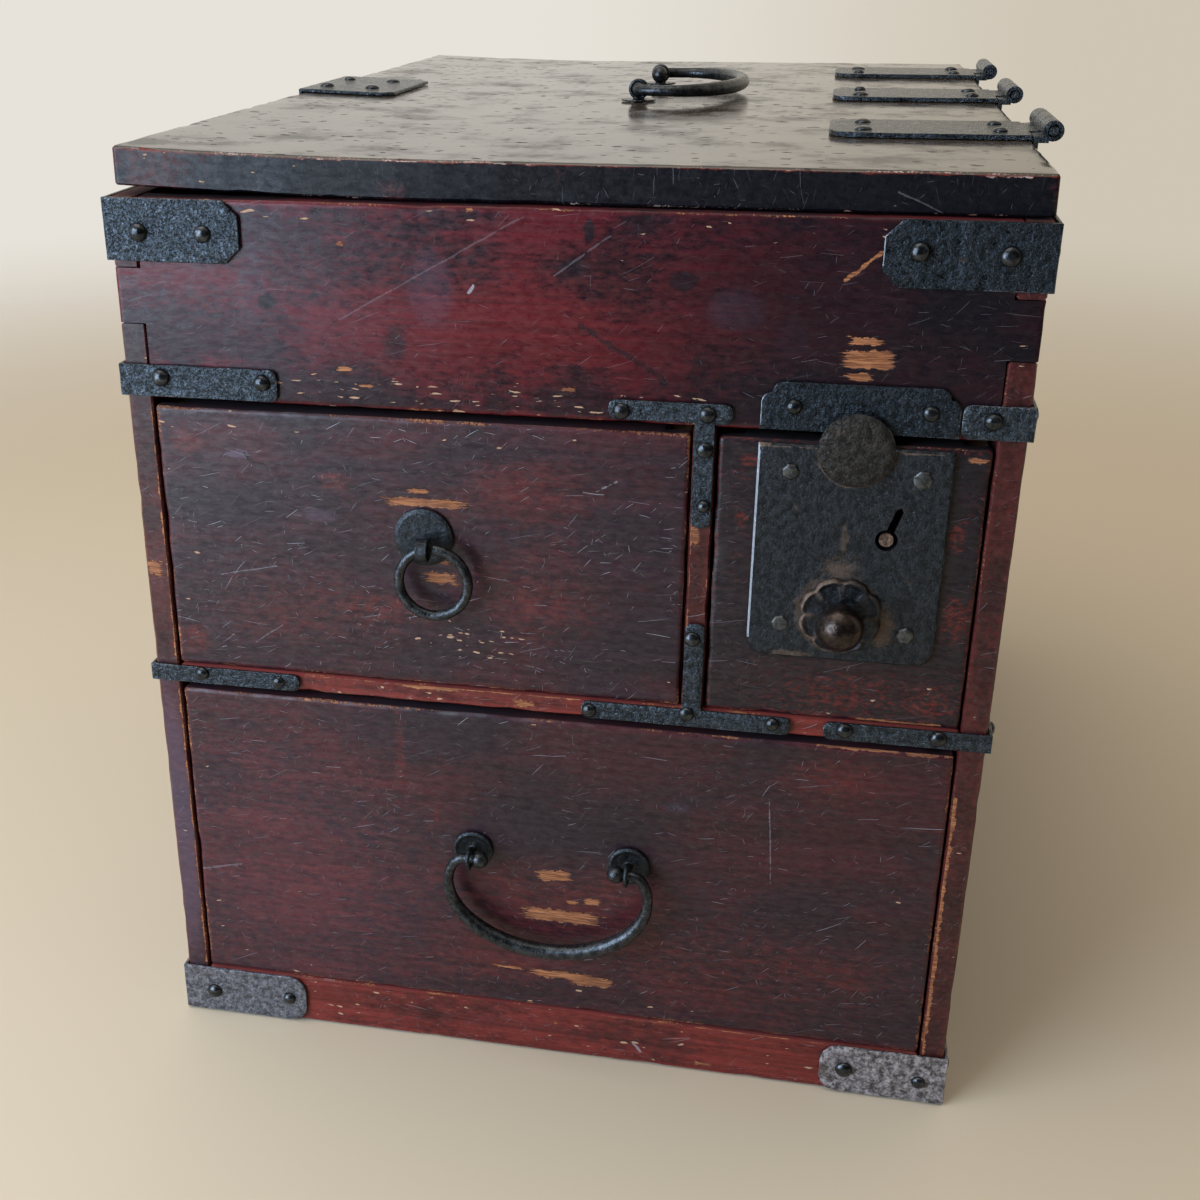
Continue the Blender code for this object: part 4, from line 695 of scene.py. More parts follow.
@dataclass(frozen=True)
class Lacquer:
    """Old lacquer with a red undercoat, rubbed through at the edges."""

    dark: Colour
    red: Colour
    red_level: float
    contrast: float = 0.3
    mottle: float = 0.24
    fineness: float = 12.0
    rim: float = 0.42
    roughness: float = 0.38
    wear: float = 0.6
    flecks: float = 0.1
    scratches: float = 0.72
    lean: float = 0.3
    fleck_cell: Triple = (3.0, 0.95, 1.0)
    bright: Colour = (0.17, 0.022, 0.013)
    # Colour of milky bloom, also used as painted sheen on the left of some fronts.
    bloom_and_sheen_colour: Colour = (0.105, 0.078, 0.115)
    wood: Colour = (0.45, 0.175, 0.07)
    deep_wood: Colour = (0.18, 0.06, 0.024)
    chip: Colour = (0.46, 0.27, 0.165)
    pale: Colour = (0.33, 0.30, 0.335)
    stain: Colour = (0.007, 0.006, 0.009)
    top: Optional[Colour] = None
    top_gloss: float = 0.0
    front_gloss: float = 1.0
    specular: float = 0.36

    def scratched(self, w: Wiring, flat: Feed) -> Socket:
        """Return the mask of the scratches, from long slanting ones to fine ones that lie all ways."""
        layers = (
            (ORIGIN, 12.0, 16.0, 0.13, 0.0, 0.5, 0.4),
            ((57.0, 213.0, 0.0), 6.6, 10.0, 0.11, -0.22, 0.6, 0.5),
            ((91.0, 33.0, 0.0), 4.4, 6.5, 0.1, 0.1, 1.3, 0.5),
            ((13.0, 71.0, 0.0), 2.9, 4.0, 0.085, -0.1, 1.2, 0.5),
            ((213.0, 57.0, 0.0), 1.7, 2.2, 0.075, 0.3, 3.0, 0.6),
        )
        masks = []
        for shift, cell, length, width, lean, spread, share in layers:
            found = w.effect(
                ScratchField,
                Flat=w.aim("ADD", flat, shift),
                Cell=cell,
                Length=length,
                Width=width,
                Lean=self.lean + lean,
                Spread=spread,
                Share=share,
            )
            masks.append(found["Mask"])
        return w.most(*masks)

    def topped(self, surface: Surface, flat: Feed, colour: Feed, cloud: Feed) -> tuple:
        """Return the colour with a browner upper face, that face's dull spots and its mask."""
        w = surface.w
        above = surface.facing(UPWARD, 0.7)
        dashes = w.effect(Flecks, Flat=flat, Share=0.3, Cell=(4.6, 2.6, 1.0))["Mask"]
        stains = w.ramp(w.cloud(flat, 0.04, 6.0, 0.66), 0.44, 0.68)
        brown = w.blend(w.times(cloud, 0.5), self.top, w.scale(self.top, 0.45))
        soiled = w.most(w.times(dashes, 0.95), w.times(stains, 0.7))
        brown = w.blend(soiled, brown, self.stain)
        dull = w.times_plus(stains, 0.2, w.times_plus(dashes, 0.4, -self.top_gloss))
        return w.blend(above, colour, brown), w.times(dull, above), above

    def material(self, board: Board, marks: tuple = ()) -> Material:
        """Dress a board.

        Args:
            board: The board that is lacquered.
            marks: Marks of wear on its front.

        Returns:
            The board's own material.
        """
        surface = Surface(board.node + "_lacquer")
        w = surface.w
        place = board.curl.flatten(w, surface.place) if board.curl else surface.place
        flat = surface.flat(place)
        edge = surface.edges(place, board.corners(), self.wear)
        low, high = (corner / MM for corner in board.corners())
        layout = {"Place": place, "Stretch": board.grain.value, "Shift": tuple((low + high) * 0.031)}
        grain = w.effect(WoodGrain, Fineness=self.fineness, **layout)
        front = surface.facing(FORWARD, 0.5)
        masks = {}
        for wear in Wear:
            found = [mark.mask(w, flat) for mark in marks if mark.wear is wear]
            masks[wear] = w.times(w.most(0.0, *found), front) if found else 0.0

        # Lacquer: dark over red, rubbed through in ragged clouds and along the edges
        showing = w.times(grain["Cloud"], 1.0 - self.mottle)
        showing = w.times_plus(grain["Mottle"], self.mottle, showing)
        showing = w.times_plus(masks[Wear.RED], 0.36, showing)
        showing = w.times_plus(edge["Rim"], self.rim, showing)
        red = w.ramp(showing, self.red_level - self.contrast, self.red_level + self.contrast)
        colour = w.blend(red, self.dark, self.red)
        spots = w.times(masks[Wear.RED], w.times(grain["Mottle"], 0.42))
        colour = w.blend(spots, colour, self.bright)
        colour = w.scale(colour, w.ramp(grain["Streak"], 0.0, 1.0, 0.74, 1.21))
        # Bloom, and painted sheen where broad soft bloom marks brighten the left of a front.
        colour = w.blend(w.times(masks[Wear.BLOOM_AND_SHEEN], 0.3), colour, self.bloom_and_sheen_colour)
        stained = w.most(masks[Wear.DARK], masks[Wear.GOUGE])
        colour = w.blend(w.times(stained, 0.85), colour, self.stain)
        if self.top is not None:
            colour, dull, above = self.topped(surface, flat, colour, grain["Cloud"])
        else:
            above = surface.facing(UPWARD, 0.7)
            dull = w.times(above, 0.5)

        # Scratches, and wood where the lacquer is gone
        scratch = w.times(self.scratched(w, flat), self.scratches)
        scratch = w.times(scratch, w.minus(1.0, above))
        scratch = w.most(scratch, masks[Wear.SCORE])
        colour = w.blend(scratch, colour, self.pale)
        zones = w.times(masks[Wear.FLECKED], 0.6)
        share = w.times_plus(edge["Band"], self.flecks, zones)
        share = w.times(share, w.minus(1.0, above))
        flecks = w.effect(Flecks, Flat=flat, Share=share, Cell=self.fleck_cell)
        bare = w.most(edge["Line"], masks[Wear.BARE], masks[Wear.WORN])
        fibres = w.cloud(w.aim("MULTIPLY", flat, (0.11, 2.1, 1.0)), 1.0, 4.0, 0.68)
        fibres = w.times_plus(grain["Streak"], 0.35, w.ramp(fibres, 0.4, 0.6))
        wood = w.blend(fibres, self.wood, self.deep_wood)
        colour = w.blend(flecks["Mask"], w.blend(bare, colour, wood), self.chip)
        bare = w.most(bare, flecks["Mask"])

        # Faces that never were lacquered; within 16 to 20 mm of the front they take the lacquer's colour as
        # painted shade in the gaps round the drawers
        depth = w.minus(w.parts(place)[1], FRONT_FACE / MM)
        # Painted shade: inner faces near the front get the dark lacquer, for the shadowed gaps round the
        # drawers.
        lacquered = w.most(surface.facing(board.outward, board.limit), w.ramp(depth, 16.0, 20.0, 1.0, 0.0))
        inside = BareWood()
        colour = w.blend(lacquered, inside.colour(w, grain["Streak"], grain["Cloud"]), colour)
        patchy = w.times(grain["Mottle"], w.times_plus(above, -0.1, 0.12))
        gloss = w.plus(patchy, self.roughness - 0.06)
        rough = w.total(gloss, dull, w.times(scratch, 0.15), w.times(bare, 0.34))
        step = w.minus(rough, inside.roughness)
        rough = w.times_plus(lacquered, step, inside.roughness)
        holes = w.times(w.most(bare, masks[Wear.GOUGE]), 0.6)
        sunk = w.times_plus(scratch, 0.3, holes)
        swell = w.times(w.cloud(place, 0.06, 2.0), 1.2)
        height = w.minus(w.times_plus(grain["Mottle"], 0.08, swell), sunk)
        height = w.times(height, w.times_plus(above, -0.94, 1.0))
        uneven = w.cloud(w.aim("MULTIPLY", flat, (0.25, 0.6, 1.0)), 1.0, 6.0, 0.72)
        sheen = w.ramp(uneven, 0.36, 0.62, 0.72 * self.specular, 1.24 * self.specular)
        sheen = w.times(sheen, w.times_plus(front, self.front_gloss - 1.0, 1.0))
        sheen = w.times_plus(above, w.minus(self.specular, sheen), sheen)
        w.plug(surface.shader.inputs["Specular IOR Level"], sheen)
        return surface.finish(colour, rough, height, 0.00017)


@dataclass(frozen=True)
class Iron:
    """Forged iron, blackened and pitted, brighter where it is rubbed, with a painted highlight on plate
    edges that face the lamp at the left front.
    """

    dark: Colour = (0.020, 0.026, 0.033)
    grey: Colour = (0.062, 0.077, 0.095)
    bright: Colour = (0.40, 0.44, 0.50)
    rust: Colour = (0.075, 0.042, 0.026)
    dust: Colour = (0.21, 0.125, 0.075)
    rust_share: float = 0.2
    roughness: float = 0.2
    rubbed: float = 0.16
    metallic: float = 0.85
    tooth: float = 0.19 * MM
    # Strength of the painted highlight on plate edges that face the left front.
    edge: float = 0.25

    def material(
        self, name: str, node: Optional[str] = None, marks: tuple = (), rub: str = ""
    ) -> Material:
        """Dress an iron.

        Args:
            name: The material's name.
            node: The plate whose edges are rubbed and given a painted highlight where they face the left
                front, if it is a plate.
            marks: Spots of rust or dust on its front; on the lock plate one of them is a painted shadow.
            rub: The mesh attribute that says where dust has gathered, painted stronger on the side that the
                lamp lights, if it has one.

        Returns:
            The iron's material.
        """
        surface = Surface(name)
        w = surface.w
        skin = w.effect(IronSkin, Place=surface.place, Rust=self.rust_share)
        colour = w.blend(skin["Tone"], self.dark, self.grey)
        colour = w.blend(w.times(skin["Pits"], 0.6), colour, w.scale(self.dark, 0.45))
        shine = w.times(skin["Specks"], 0.15)
        painted_edge_glint = 0.0
        if node is not None:
            edge = surface.edges(surface.place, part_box(node), 0.5)
            # Painted highlight: a bright rim on the plate edges that face the lamp at the left front.
            worn = w.times(edge["Rim"], self.edge)
            painted_edge_glint = w.times(surface.facing((-0.68, -0.68, 0.27), 0.93), worn)
            shine = w.most(shine, w.times(edge["Line"], self.rubbed), painted_edge_glint)
        colour = w.blend(shine, colour, self.bright)
        rust = w.times(skin["Rust"], 0.8)
        dust = 0.0
        if marks:
            flat = surface.flat(surface.place)
            front = surface.facing(FORWARD, 0.3)
            spots = w.most(*(mark.mask(w, flat) for mark in marks))
            dust = w.times(spots, front)
        if rub:
            # This attribute is dust and painted light: the rosette's rims are dustier on the left, where
            # the lamp falls.
            settled = w.add("ShaderNodeAttribute", attribute_name=rub).outputs["Fac"]
            dust = w.most(dust, w.times(settled, w.ramp(skin["Tone"], 0.1, 0.7, 0.5, 1.0)))
        colour = w.blend(rust, colour, self.rust)
        # The dust colour also paints the shadow beside the rosette.
        colour = w.blend(dust, colour, self.dust)
        dull = w.most(rust, dust)
        uneven = w.times(skin["Tone"], 0.14)
        rough = w.total(self.roughness - 0.06, uneven, w.times(dull, 0.3))
        # The painted highlight is made less metallic, as the dull spots are.
        plain = w.most(dull, w.times(painted_edge_glint, 0.6))
        metal = w.times_plus(plain, -self.metallic, self.metallic)
        w.plug(surface.shader.inputs["Metallic"], metal)
        lumps = w.times_plus(skin["Tone"], 1.2, w.times(skin["Pits"], -0.7))
        height = w.times_plus(dull, 0.3, lumps)
        return surface.finish(colour, rough, height, self.tooth)


RED_BOARD = Lacquer(
    dark=(0.016, 0.0045, 0.008),
    red=(0.092, 0.006, 0.0105),
    red_level=0.5,
    mottle=0.27,
    fineness=16.0,
    roughness=0.32,
    scratches=0.3,
    flecks=0.06,
    fleck_cell=(5.5, 0.95, 1.0),
    specular=0.28,
)
DARK_FRONT = Lacquer(
    dark=(0.017, 0.0075, 0.0135),
    red=(0.062, 0.0088, 0.012),
    red_level=0.74,
    contrast=0.5,
    mottle=0.36,
    fineness=17.0,
    wear=0.85,
    flecks=0.03,
    scratches=0.62,
    specular=0.42,
)
SCRATCHED_FRONT = replace(DARK_FRONT, scratches=1.0)
SPECKLED_FRONT = Lacquer(
    dark=(0.0085, 0.0056, 0.0095),
    red=(0.08, 0.009, 0.0085),
    red_level=0.97,
    mottle=0.8,
    fineness=26.0,
    wear=0.6,
    scratches=0.4,
    flecks=0.02,
    specular=0.4,
)
BROWN_STILE = Lacquer(
    dark=(0.024, 0.0075, 0.0085),
    red=(0.074, 0.0135, 0.0125),
    red_level=0.53,
    contrast=0.5,
    mottle=0.4,
    fineness=16.0,
    scratches=0.5,
    wear=0.6,
    flecks=0.03,
)
RED_RAIL = Lacquer(
    dark=(0.060, 0.0105, 0.011),
    red=(0.16, 0.021, 0.017),
    red_level=0.4,
    mottle=0.4,
    scratches=0.6,
    flecks=0.1,
)
BLACK_LID = Lacquer(
    dark=(0.007, 0.0065, 0.009),
    red=(0.12, 0.024, 0.019),
    red_level=1.02,
    rim=0.12,
    roughness=0.32,
    top_gloss=0.17,
    front_gloss=0.55,
    wear=0.55,
    scratches=0.3,
    lean=1.75,
    flecks=0.03,
    top=(0.085, 0.064, 0.048),
    wood=(0.55, 0.43, 0.36),
    deep_wood=(0.20, 0.05, 0.035),
    specular=0.42,
)
BLACK_IRON = Iron()
EDGED_IRON = Iron(
    dark=(0.011, 0.0155, 0.021),
    grey=(0.030, 0.039, 0.050),
    # Strong painted highlight on the edges that face the left front.
    edge=0.9,
)
GREY_IRON = Iron(
    dark=(0.06, 0.06, 0.071),
    grey=(0.235, 0.23, 0.257),
    rust_share=0.35,
    roughness=0.42,
    metallic=0.5,
)
RUSTY_IRON = Iron(
    dark=(0.05, 0.044, 0.045),
    grey=(0.45, 0.40, 0.41),
    rust_share=0.55,
    roughness=0.5,
    metallic=0.3,
)
LOCK_IRON = Iron(
    dark=(0.020, 0.0235, 0.028),
    grey=(0.042, 0.048, 0.056),
    rust_share=0.3,
    roughness=0.36,
    tooth=0.08 * MM,
    # Strong painted highlight on the edges that face the left front.
    edge=0.85,
)
DISC_IRON = Iron(
    dark=(0.020, 0.019, 0.018),
    grey=(0.054, 0.048, 0.043),
    rust_share=0.4,
    roughness=0.48,
)
KNOB_IRON = Iron(
    dark=(0.024, 0.017, 0.015),
    grey=(0.062, 0.046, 0.04),
    rust_share=0.25,
    roughness=0.2,
    tooth=0.03 * MM,
)
HANDLE_IRON = Iron(
    dark=(0.024, 0.027, 0.031),
    grey=(0.066, 0.073, 0.082),
    roughness=0.26,
    tooth=0.04 * MM,
)
NAIL_IRON = Iron(
    dark=(0.022, 0.025, 0.029),
    grey=(0.072, 0.079, 0.088),
    rust_share=0.15,
    roughness=0.13,
    tooth=0.02 * MM,
)
PALE_NAIL = Iron(
    dark=(0.045, 0.048, 0.05),
    grey=(0.13, 0.135, 0.137),
    rust_share=0.3,
    roughness=0.38,
    tooth=0.04 * MM,
)
KEY_IRON = Iron(
    dark=(0.10, 0.063, 0.048),
    grey=(0.24, 0.158, 0.12),
    rust_share=0.35,
    roughness=0.5,
)


def body_of(node: str) -> str:
    """Return the name of the body that a CAD node belongs to."""
    return frame["nodes"][node]["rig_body"]


def cad_shell(node: str) -> Shell:
    """Return a copy of a CAD node's mesh with its triangles joined into whole faces."""
    shell = bmesh.new()
    shell.from_mesh(frame["nodes"][node].data)
    bmesh.ops.remove_doubles(shell, verts=shell.verts, dist=MERGE_GAP)
    bmesh.ops.dissolve_limit(shell, angle_limit=FLAT_ANGLE, verts=shell.verts, edges=shell.edges)
    return shell


def slice_at(shell: Shell, way: Vector, mark: float) -> None:
    """Cut a mesh along the plane that stands across an axis at a mark."""
    everything = shell.verts[:] + shell.edges[:] + shell.faces[:]
    bmesh.ops.bisect_plane(shell, geom=everything, plane_co=way * mark, plane_no=way, dist=CUT_GAP)


def grid_cut(shell: Shell, steps: Triple, edge_steps: tuple = ()) -> None:
    """Cut a mesh into cells so that it can be dented.

    Args:
        shell: The mesh.
        steps: The size of a cell along each axis, in metres; 0 leaves an axis uncut.
        edge_steps: Distances from the ends of each cut axis where one more cut is made.
    """
    spots = [vert.co for vert in shell.verts]
    for axis, step in enumerate(steps):
        if step == 0.0:
            continue
        low = min(spot[axis] for spot in spots)
        high = max(spot[axis] for spot in spots)
        count = max(1, round((high - low) / step))
        marks = [low + (high - low) * index / count for index in range(1, count)]
        marks += [low + inset for inset in edge_steps] + [high - inset for inset in edge_steps]
        way = Vector((axis == 0, axis == 1, axis == 2))
        for mark in sorted(marks):
            slice_at(shell, way, mark)


def make_piece(shell: Shell, name: str, sharp: float = 35.0) -> Piece:
    """Turn a mesh under work into an object.

    Args:
        shell: The mesh, which is used up.
        name: The object's name.
        sharp: The angle in degrees above which an edge stays sharp.

    Returns:
        The object, at the origin.
    """
    mesh = bpy.data.meshes.new(name)
    shell.to_mesh(mesh)
    shell.free()
    mesh.shade_smooth()
    mesh.set_sharp_from_angle(angle=math.radians(sharp))
    piece = bpy.data.objects.new(name, mesh)
    show(piece)
    return piece


def settle(piece: Piece, body: str, slot: str, material: Material, *nodes: str) -> None:
    """Dress a piece, hang it on its body and report it.

    Args:
        piece: The finished piece.
        body: The body that it rides on.
        slot: The record's material slot; not used.
        material: Its finish.
        nodes: The CAD nodes that it stands for.
    """
    piece.data.materials.clear()
    piece.data.materials.append(material)
    if nodes:
        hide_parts(*nodes)
    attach(piece, body)
    LOG.info("%s rides on %s with %d faces", piece.name, body, len(piece.data.polygons))


def keep(node: str, material: Material) -> None:
    """Show a CAD node as it is, with a better finish."""
    mesh = frame["nodes"][node].data
    mesh.materials.clear()
    mesh.materials.append(material)
    LOG.info("%s keeps its own mesh", node)


@dataclass
class BoardShop:
    """Makes aged copies of boards: edges nicked and rubbed, faces a little uneven."""

    nick_reach: float = 2.6 * MM
    nick_depth: float = 0.75 * MM
    hollow: float = 0.10 * MM
    skin: float = 0.75 * MM
    edge_cuts: tuple = (1.4 * MM,)
    thick: float = 0.02

    def age(self, shell: Shell, board: Board) -> None:
        """Rub and nick the outside of a board; the walls of its holes and rebates stay."""
        low, high = board.corners()
        centre, half = (low + high) / 2, (high - low) / 2
        shift = Vector((len(board.node) * 3.7, 1.3, 8.1))
        for vert in shell.verts:
            lift = board.curl.lift(vert.co.x) if board.curl else 0.0
            offset = vert.co - centre - Vector((0.0, 0.0, lift))
            gaps = [half[axis] - abs(offset[axis]) for axis in range(3)]
            order = sorted(range(3), key=gaps.__getitem__)
            if gaps[order[0]] > self.skin:
                continue
            spot = vert.co / MM + shift
            move = [0.0, 0.0, 0.0]
            move[order[0]] = self.hollow * (0.5 + 0.5 * noise.noise(spot * 0.035))
            edge = gaps[order[1]]
            if edge < self.nick_reach:
                broad = max(0.0, noise.noise(spot * 0.13) - 0.18)
                small = max(0.0, noise.noise(spot * 0.55) - 0.15)
                depth = self.nick_depth * (broad + 0.7 * small) * (1.0 - edge / self.nick_reach)
                for axis in order[:2]:
                    move[axis] += depth
            for axis in range(3):
                vert.co[axis] -= math.copysign(move[axis], offset[axis])

    def make(self, board: Board, step: float) -> Piece:
        """Return the aged copy of a board.

        Args:
            board: The board.
            step: The size of the cells that it is dented in.

        Returns:
            The piece, not yet dressed.
        """
        shell = cad_shell(board.node)
        low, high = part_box(board.node)
        steps = tuple(step if high[axis] - low[axis] > self.thick else 0.0 for axis in range(3))
        grid_cut(shell, steps, self.edge_cuts)
        self.age(shell, board)
        return make_piece(shell, "aged_" + board.node)

    def fit(self, board: Board, step: float, slot: str, material: Material) -> None:
        """Make, dress and hang a board in one go."""
        settle(self.make(board, step), body_of(board.node), slot, material, board.node)


@dataclass
class Forge:
    """Makes forged copies of irons: hammered faces and wavering outlines."""

    cell: float = 1.8 * MM
    dent: float = 0.10 * MM
    bevel: float = 0.36 * MM
    rim: float = 2.0 * MM
    thin: float = 2.5 * MM
    lap_slope: float = 0.25 * MM
    lap_skin: float = 0.25 * MM
    lap_edge: float = 0.1 * MM
    lap_step: float = 0.22 * MM
    sharp_edge: float = 0.8

    def chamfer(self, shell: Shell, outward: Vector, width: float, rim: float = 0.0) -> None:
        """Take the sharp edges off the outer face of a plate.

        Args:
            shell: The mesh.
            outward: The way that the outer face looks.
            width: The width of the chamfer.
            rim: How near to the outline an edge must lie, if only the outline is chamfered.
        """
        low = [min(vert.co[axis] for vert in shell.verts) for axis in range(3)]
        high = [max(vert.co[axis] for vert in shell.verts) for axis in range(3)]
        flat_axes = [axis for axis in range(3) if abs(outward[axis]) < 0.5]
        shell.normal_update()
        edges = []
        for edge in shell.edges:
            if len(edge.link_faces) != 2 or edge.calc_face_angle(0.0) < self.sharp_edge:
                continue
            if max(face.normal.dot(outward) for face in edge.link_faces) < 0.9:
                continue
            middle = (edge.verts[0].co + edge.verts[1].co) / 2
            gap = min(min(middle[axis] - low[axis], high[axis] - middle[axis]) for axis in flat_axes)
            if rim == 0.0 or gap < rim:
                edges.append(edge)
        bmesh.ops.bevel(shell, geom=edges, offset=width, segments=1, affect="EDGES", clamp_overlap=True)

    def hammer(self, shell: Shell, dent: float, seed: float) -> None:
        """Dent a mesh along its normals, inwards on the whole."""
        shell.normal_update()
        shift = Vector((seed * 17.0, seed * 5.0, seed * 29.0))
        moves = []
        for vert in shell.verts:
            spot = vert.co / MM + shift
            broad = noise.noise(spot * 0.21) + 0.6 * noise.noise(spot * 0.55)
            moves.append(vert.normal * dent * (0.7 * broad - 0.25))
        for vert, move in zip(shell.verts, moves):
            vert.co += move

    def make(
        self,
        node: str,
        dent: float = 1.0,
        cell: float = 1.0,
        lap: Optional[float] = None,
        outward: Triple = FORWARD,
        rim_bevel: float = 0.0,
    ) -> Piece:
        """Return the forged copy of an iron.

        Args:
            node: The CAD node.
            dent: How deep the hammer marks are, in times the usual depth.
            cell: How large the cells are, in times the usual size.
            lap: Where a second layer starts across the front, if the iron is lapped.
            outward: The way that its face looks.
            rim_bevel: The width of the bevel, if the iron has one along its outline alone.

        Returns:
            The piece, not yet dressed.
        """
        shell = cad_shell(node)
        low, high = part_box(node)
        if rim_bevel > 0.0:
            self.chamfer(shell, Vector(outward), rim_bevel, self.rim)
        else:
            self.chamfer(shell, Vector(outward), self.bevel)
        step = self.cell * cell
        grid_cut(shell, tuple(step if high[axis] - low[axis] > self.thin else 0.0 for axis in range(3)))
        if lap is not None:
            for mark in (lap, lap + self.lap_slope):
                slice_at(shell, Vector(RIGHTWARD), mark)
            for vert in shell.verts:
                on_face = vert.co.y < low.y + self.lap_skin
                if on_face and vert.co.x < lap + self.lap_edge:
                    vert.co.y += self.lap_step
        self.hammer(shell, self.dent * dent, len(node) + low.x * 100)
        return make_piece(shell, "forged_" + node, 32.0)

    def fuse(self, node: str, grain: float, dent: float = 0.5, rounds: int = 3) -> Piece:
        """Return a copy of a small forging with its parts run together.

        Args:
            node: The CAD node.
            grain: The size of the cells that it is made of.
            dent: How deep the hammer marks are, in times the usual depth.
            rounds: How often it is smoothed.

        Returns:
            The piece, not yet dressed.
        """
        shell = cad_shell(node)
        rough = make_piece(shell, "rough_" + node)
        step = rough.modifiers.new("run_together", "REMESH")
        step.mode = "VOXEL"
        step.voxel_size = grain
        mesh = bpy.data.meshes.new_from_object(rough.evaluated_get(bpy.context.evaluated_depsgraph_get()))
        bpy.data.objects.remove(rough)
        shell = bmesh.new()
        shell.from_mesh(mesh)
        bpy.data.meshes.remove(mesh)
        for _ in range(rounds):
            bmesh.ops.smooth_vert(
                shell, verts=shell.verts, factor=0.5, use_axis_x=True, use_axis_y=True, use_axis_z=True
            )
        self.hammer(shell, self.dent * dent, len(node))
        return make_piece(shell, "forged_" + node, 60.0)


class NodeRecipe:
    """A Geometry Nodes tree with named inputs, used on one object and then made a plain mesh."""

    title: ClassVar[str] = ""
    inputs: ClassVar[dict] = {}

    def wire(self, w: Wiring, given: Outputs) -> Socket:
        """Wire the tree and return the geometry that it ends in."""
        raise NotImplementedError

    def tree(self) -> bpy.types.NodeTree:
        """Return the tree, made on first use."""
        made = bpy.data.node_groups.get(self.title)
        if made is not None:
            return made
        made = bpy.data.node_groups.new(self.title, "GeometryNodeTree")
        made.interface.new_socket(name="Geometry", in_out="INPUT", socket_type="NodeSocketGeometry")
        for name, kind in self.inputs.items():
            made.interface.new_socket(name=name, in_out="INPUT", socket_type=kind)
        made.interface.new_socket(name="Geometry", in_out="OUTPUT", socket_type="NodeSocketGeometry")
        w = Wiring(made)
        given = w.add("NodeGroupInput").outputs
        realized = w.add("GeometryNodeRealizeInstances", {0: self.wire(w, given)}).outputs[0]
        feeds = {"Geometry": realized, "Material": given["Material"]}
        dressed = w.add("GeometryNodeSetMaterial", feeds).outputs[0]
        w.plug(w.add("NodeGroupOutput").inputs[0], dressed)
        return made

    def run(self, name: str, start: bpy.types.Mesh, values: dict) -> Piece:
        """Run the tree.

        Args:
            name: The name of the finished piece.
            start: The mesh that the tree works on.
            values: What goes into its named inputs.

        Returns:
            A plain mesh object, at the origin.
        """
        holder = bpy.data.objects.new(name + "_layout", start)
        show(holder)
        step = holder.modifiers.new(self.title, "NODES")
        step.node_group = self.tree()
        for socket in step.node_group.interface.items_tree:
            if socket.in_out == "INPUT" and socket.name in values:
                step[socket.identifier] = values[socket.name]
        mesh = bpy.data.meshes.new_from_object(holder.evaluated_get(bpy.context.evaluated_depsgraph_get()))
        mesh.name = name
        bpy.data.objects.remove(holder)
        bpy.data.meshes.remove(start)
        piece = bpy.data.objects.new(name, mesh)
        show(piece)
        return piece


class NailRecipe(NodeRecipe):
    """Sets a hand-made nail head on every point of a layout."""

    title = "nail_heads"
    inputs = {
        "Radius": "NodeSocketFloat",
        "Height": "NodeSocketFloat",
        "Crown": "NodeSocketFloat",
        "Sides": "NodeSocketInt",
        "Uneven": "NodeSocketFloat",
        "Smooth": "NodeSocketBool",
        "Seed": "NodeSocketInt",
        "Material": "NodeSocketMaterial",
    }

    def wire(self, w: Wiring, given: Outputs) -> Socket:
        """Flatten a ball into a head, stand one on each point and shake them a little."""
        feeds = {"Segments": given["Sides"], "Rings": 10, "Radius": 1.0}
        ball = w.add("GeometryNodeMeshUVSphere", feeds).outputs[0]
        x, y, z = w.parts(w.add("GeometryNodeInputPosition").outputs[0])
        level = w.calc("MINIMUM", w.calc("MAXIMUM", z, -0.15), given["Crown"])
        feeds = {"Geometry": ball, "Position": w.join(x, y, level)}
        head = w.add("GeometryNodeSetPosition", feeds).outputs[0]
        way = w.add("GeometryNodeInputNamedAttribute", {"Name": "way"}, data_type="FLOAT_VECTOR").outputs[0]
        chance = [
            w.add(
                "FunctionNodeRandomValue",
                {2: low, 3: high, "Seed": w.plus(given["Seed"], float(index))},
                data_type="FLOAT",
            ).outputs[1]
            for index, (low, high) in enumerate(((-1.0, 1.0), (-1.0, 1.0), (0.0, 6.283)))
        ]
        spin = w.add("FunctionNodeEulerToRotation", {0: w.join(0.0, 0.0, chance[2])}).outputs[0]
        feeds = {"Rotation": spin, "Vector": way}
        turn = w.add("FunctionNodeAlignRotationToVector", feeds, axis="Z").outputs[0]
        uneven, radius, height = given["Uneven"], given["Radius"], given["Height"]
        wide = w.times_plus(w.times(chance[0], uneven), radius, radius)
        high = w.times_plus(w.times(chance[1], uneven), height, height)
        size = w.join(wide, wide, high)
        feeds = {"Points": given["Geometry"], "Instance": head, "Rotation": turn, "Scale": size}
        heads = w.add("GeometryNodeInstanceOnPoints", feeds).outputs[0]
        heads = w.add("GeometryNodeRealizeInstances", {0: heads}).outputs[0]
        spot = w.add("GeometryNodeInputPosition").outputs[0]
        offset = w.scale(w.jitter(spot, 420.0, 1.0), w.times(radius, uneven))
        shaken = w.add("GeometryNodeSetPosition", {"Geometry": heads, "Offset": offset}).outputs[0]
        feeds = {"Geometry": shaken, "Shade Smooth": given["Smooth"]}
        return w.add("GeometryNodeSetShadeSmooth", feeds).outputs[0]


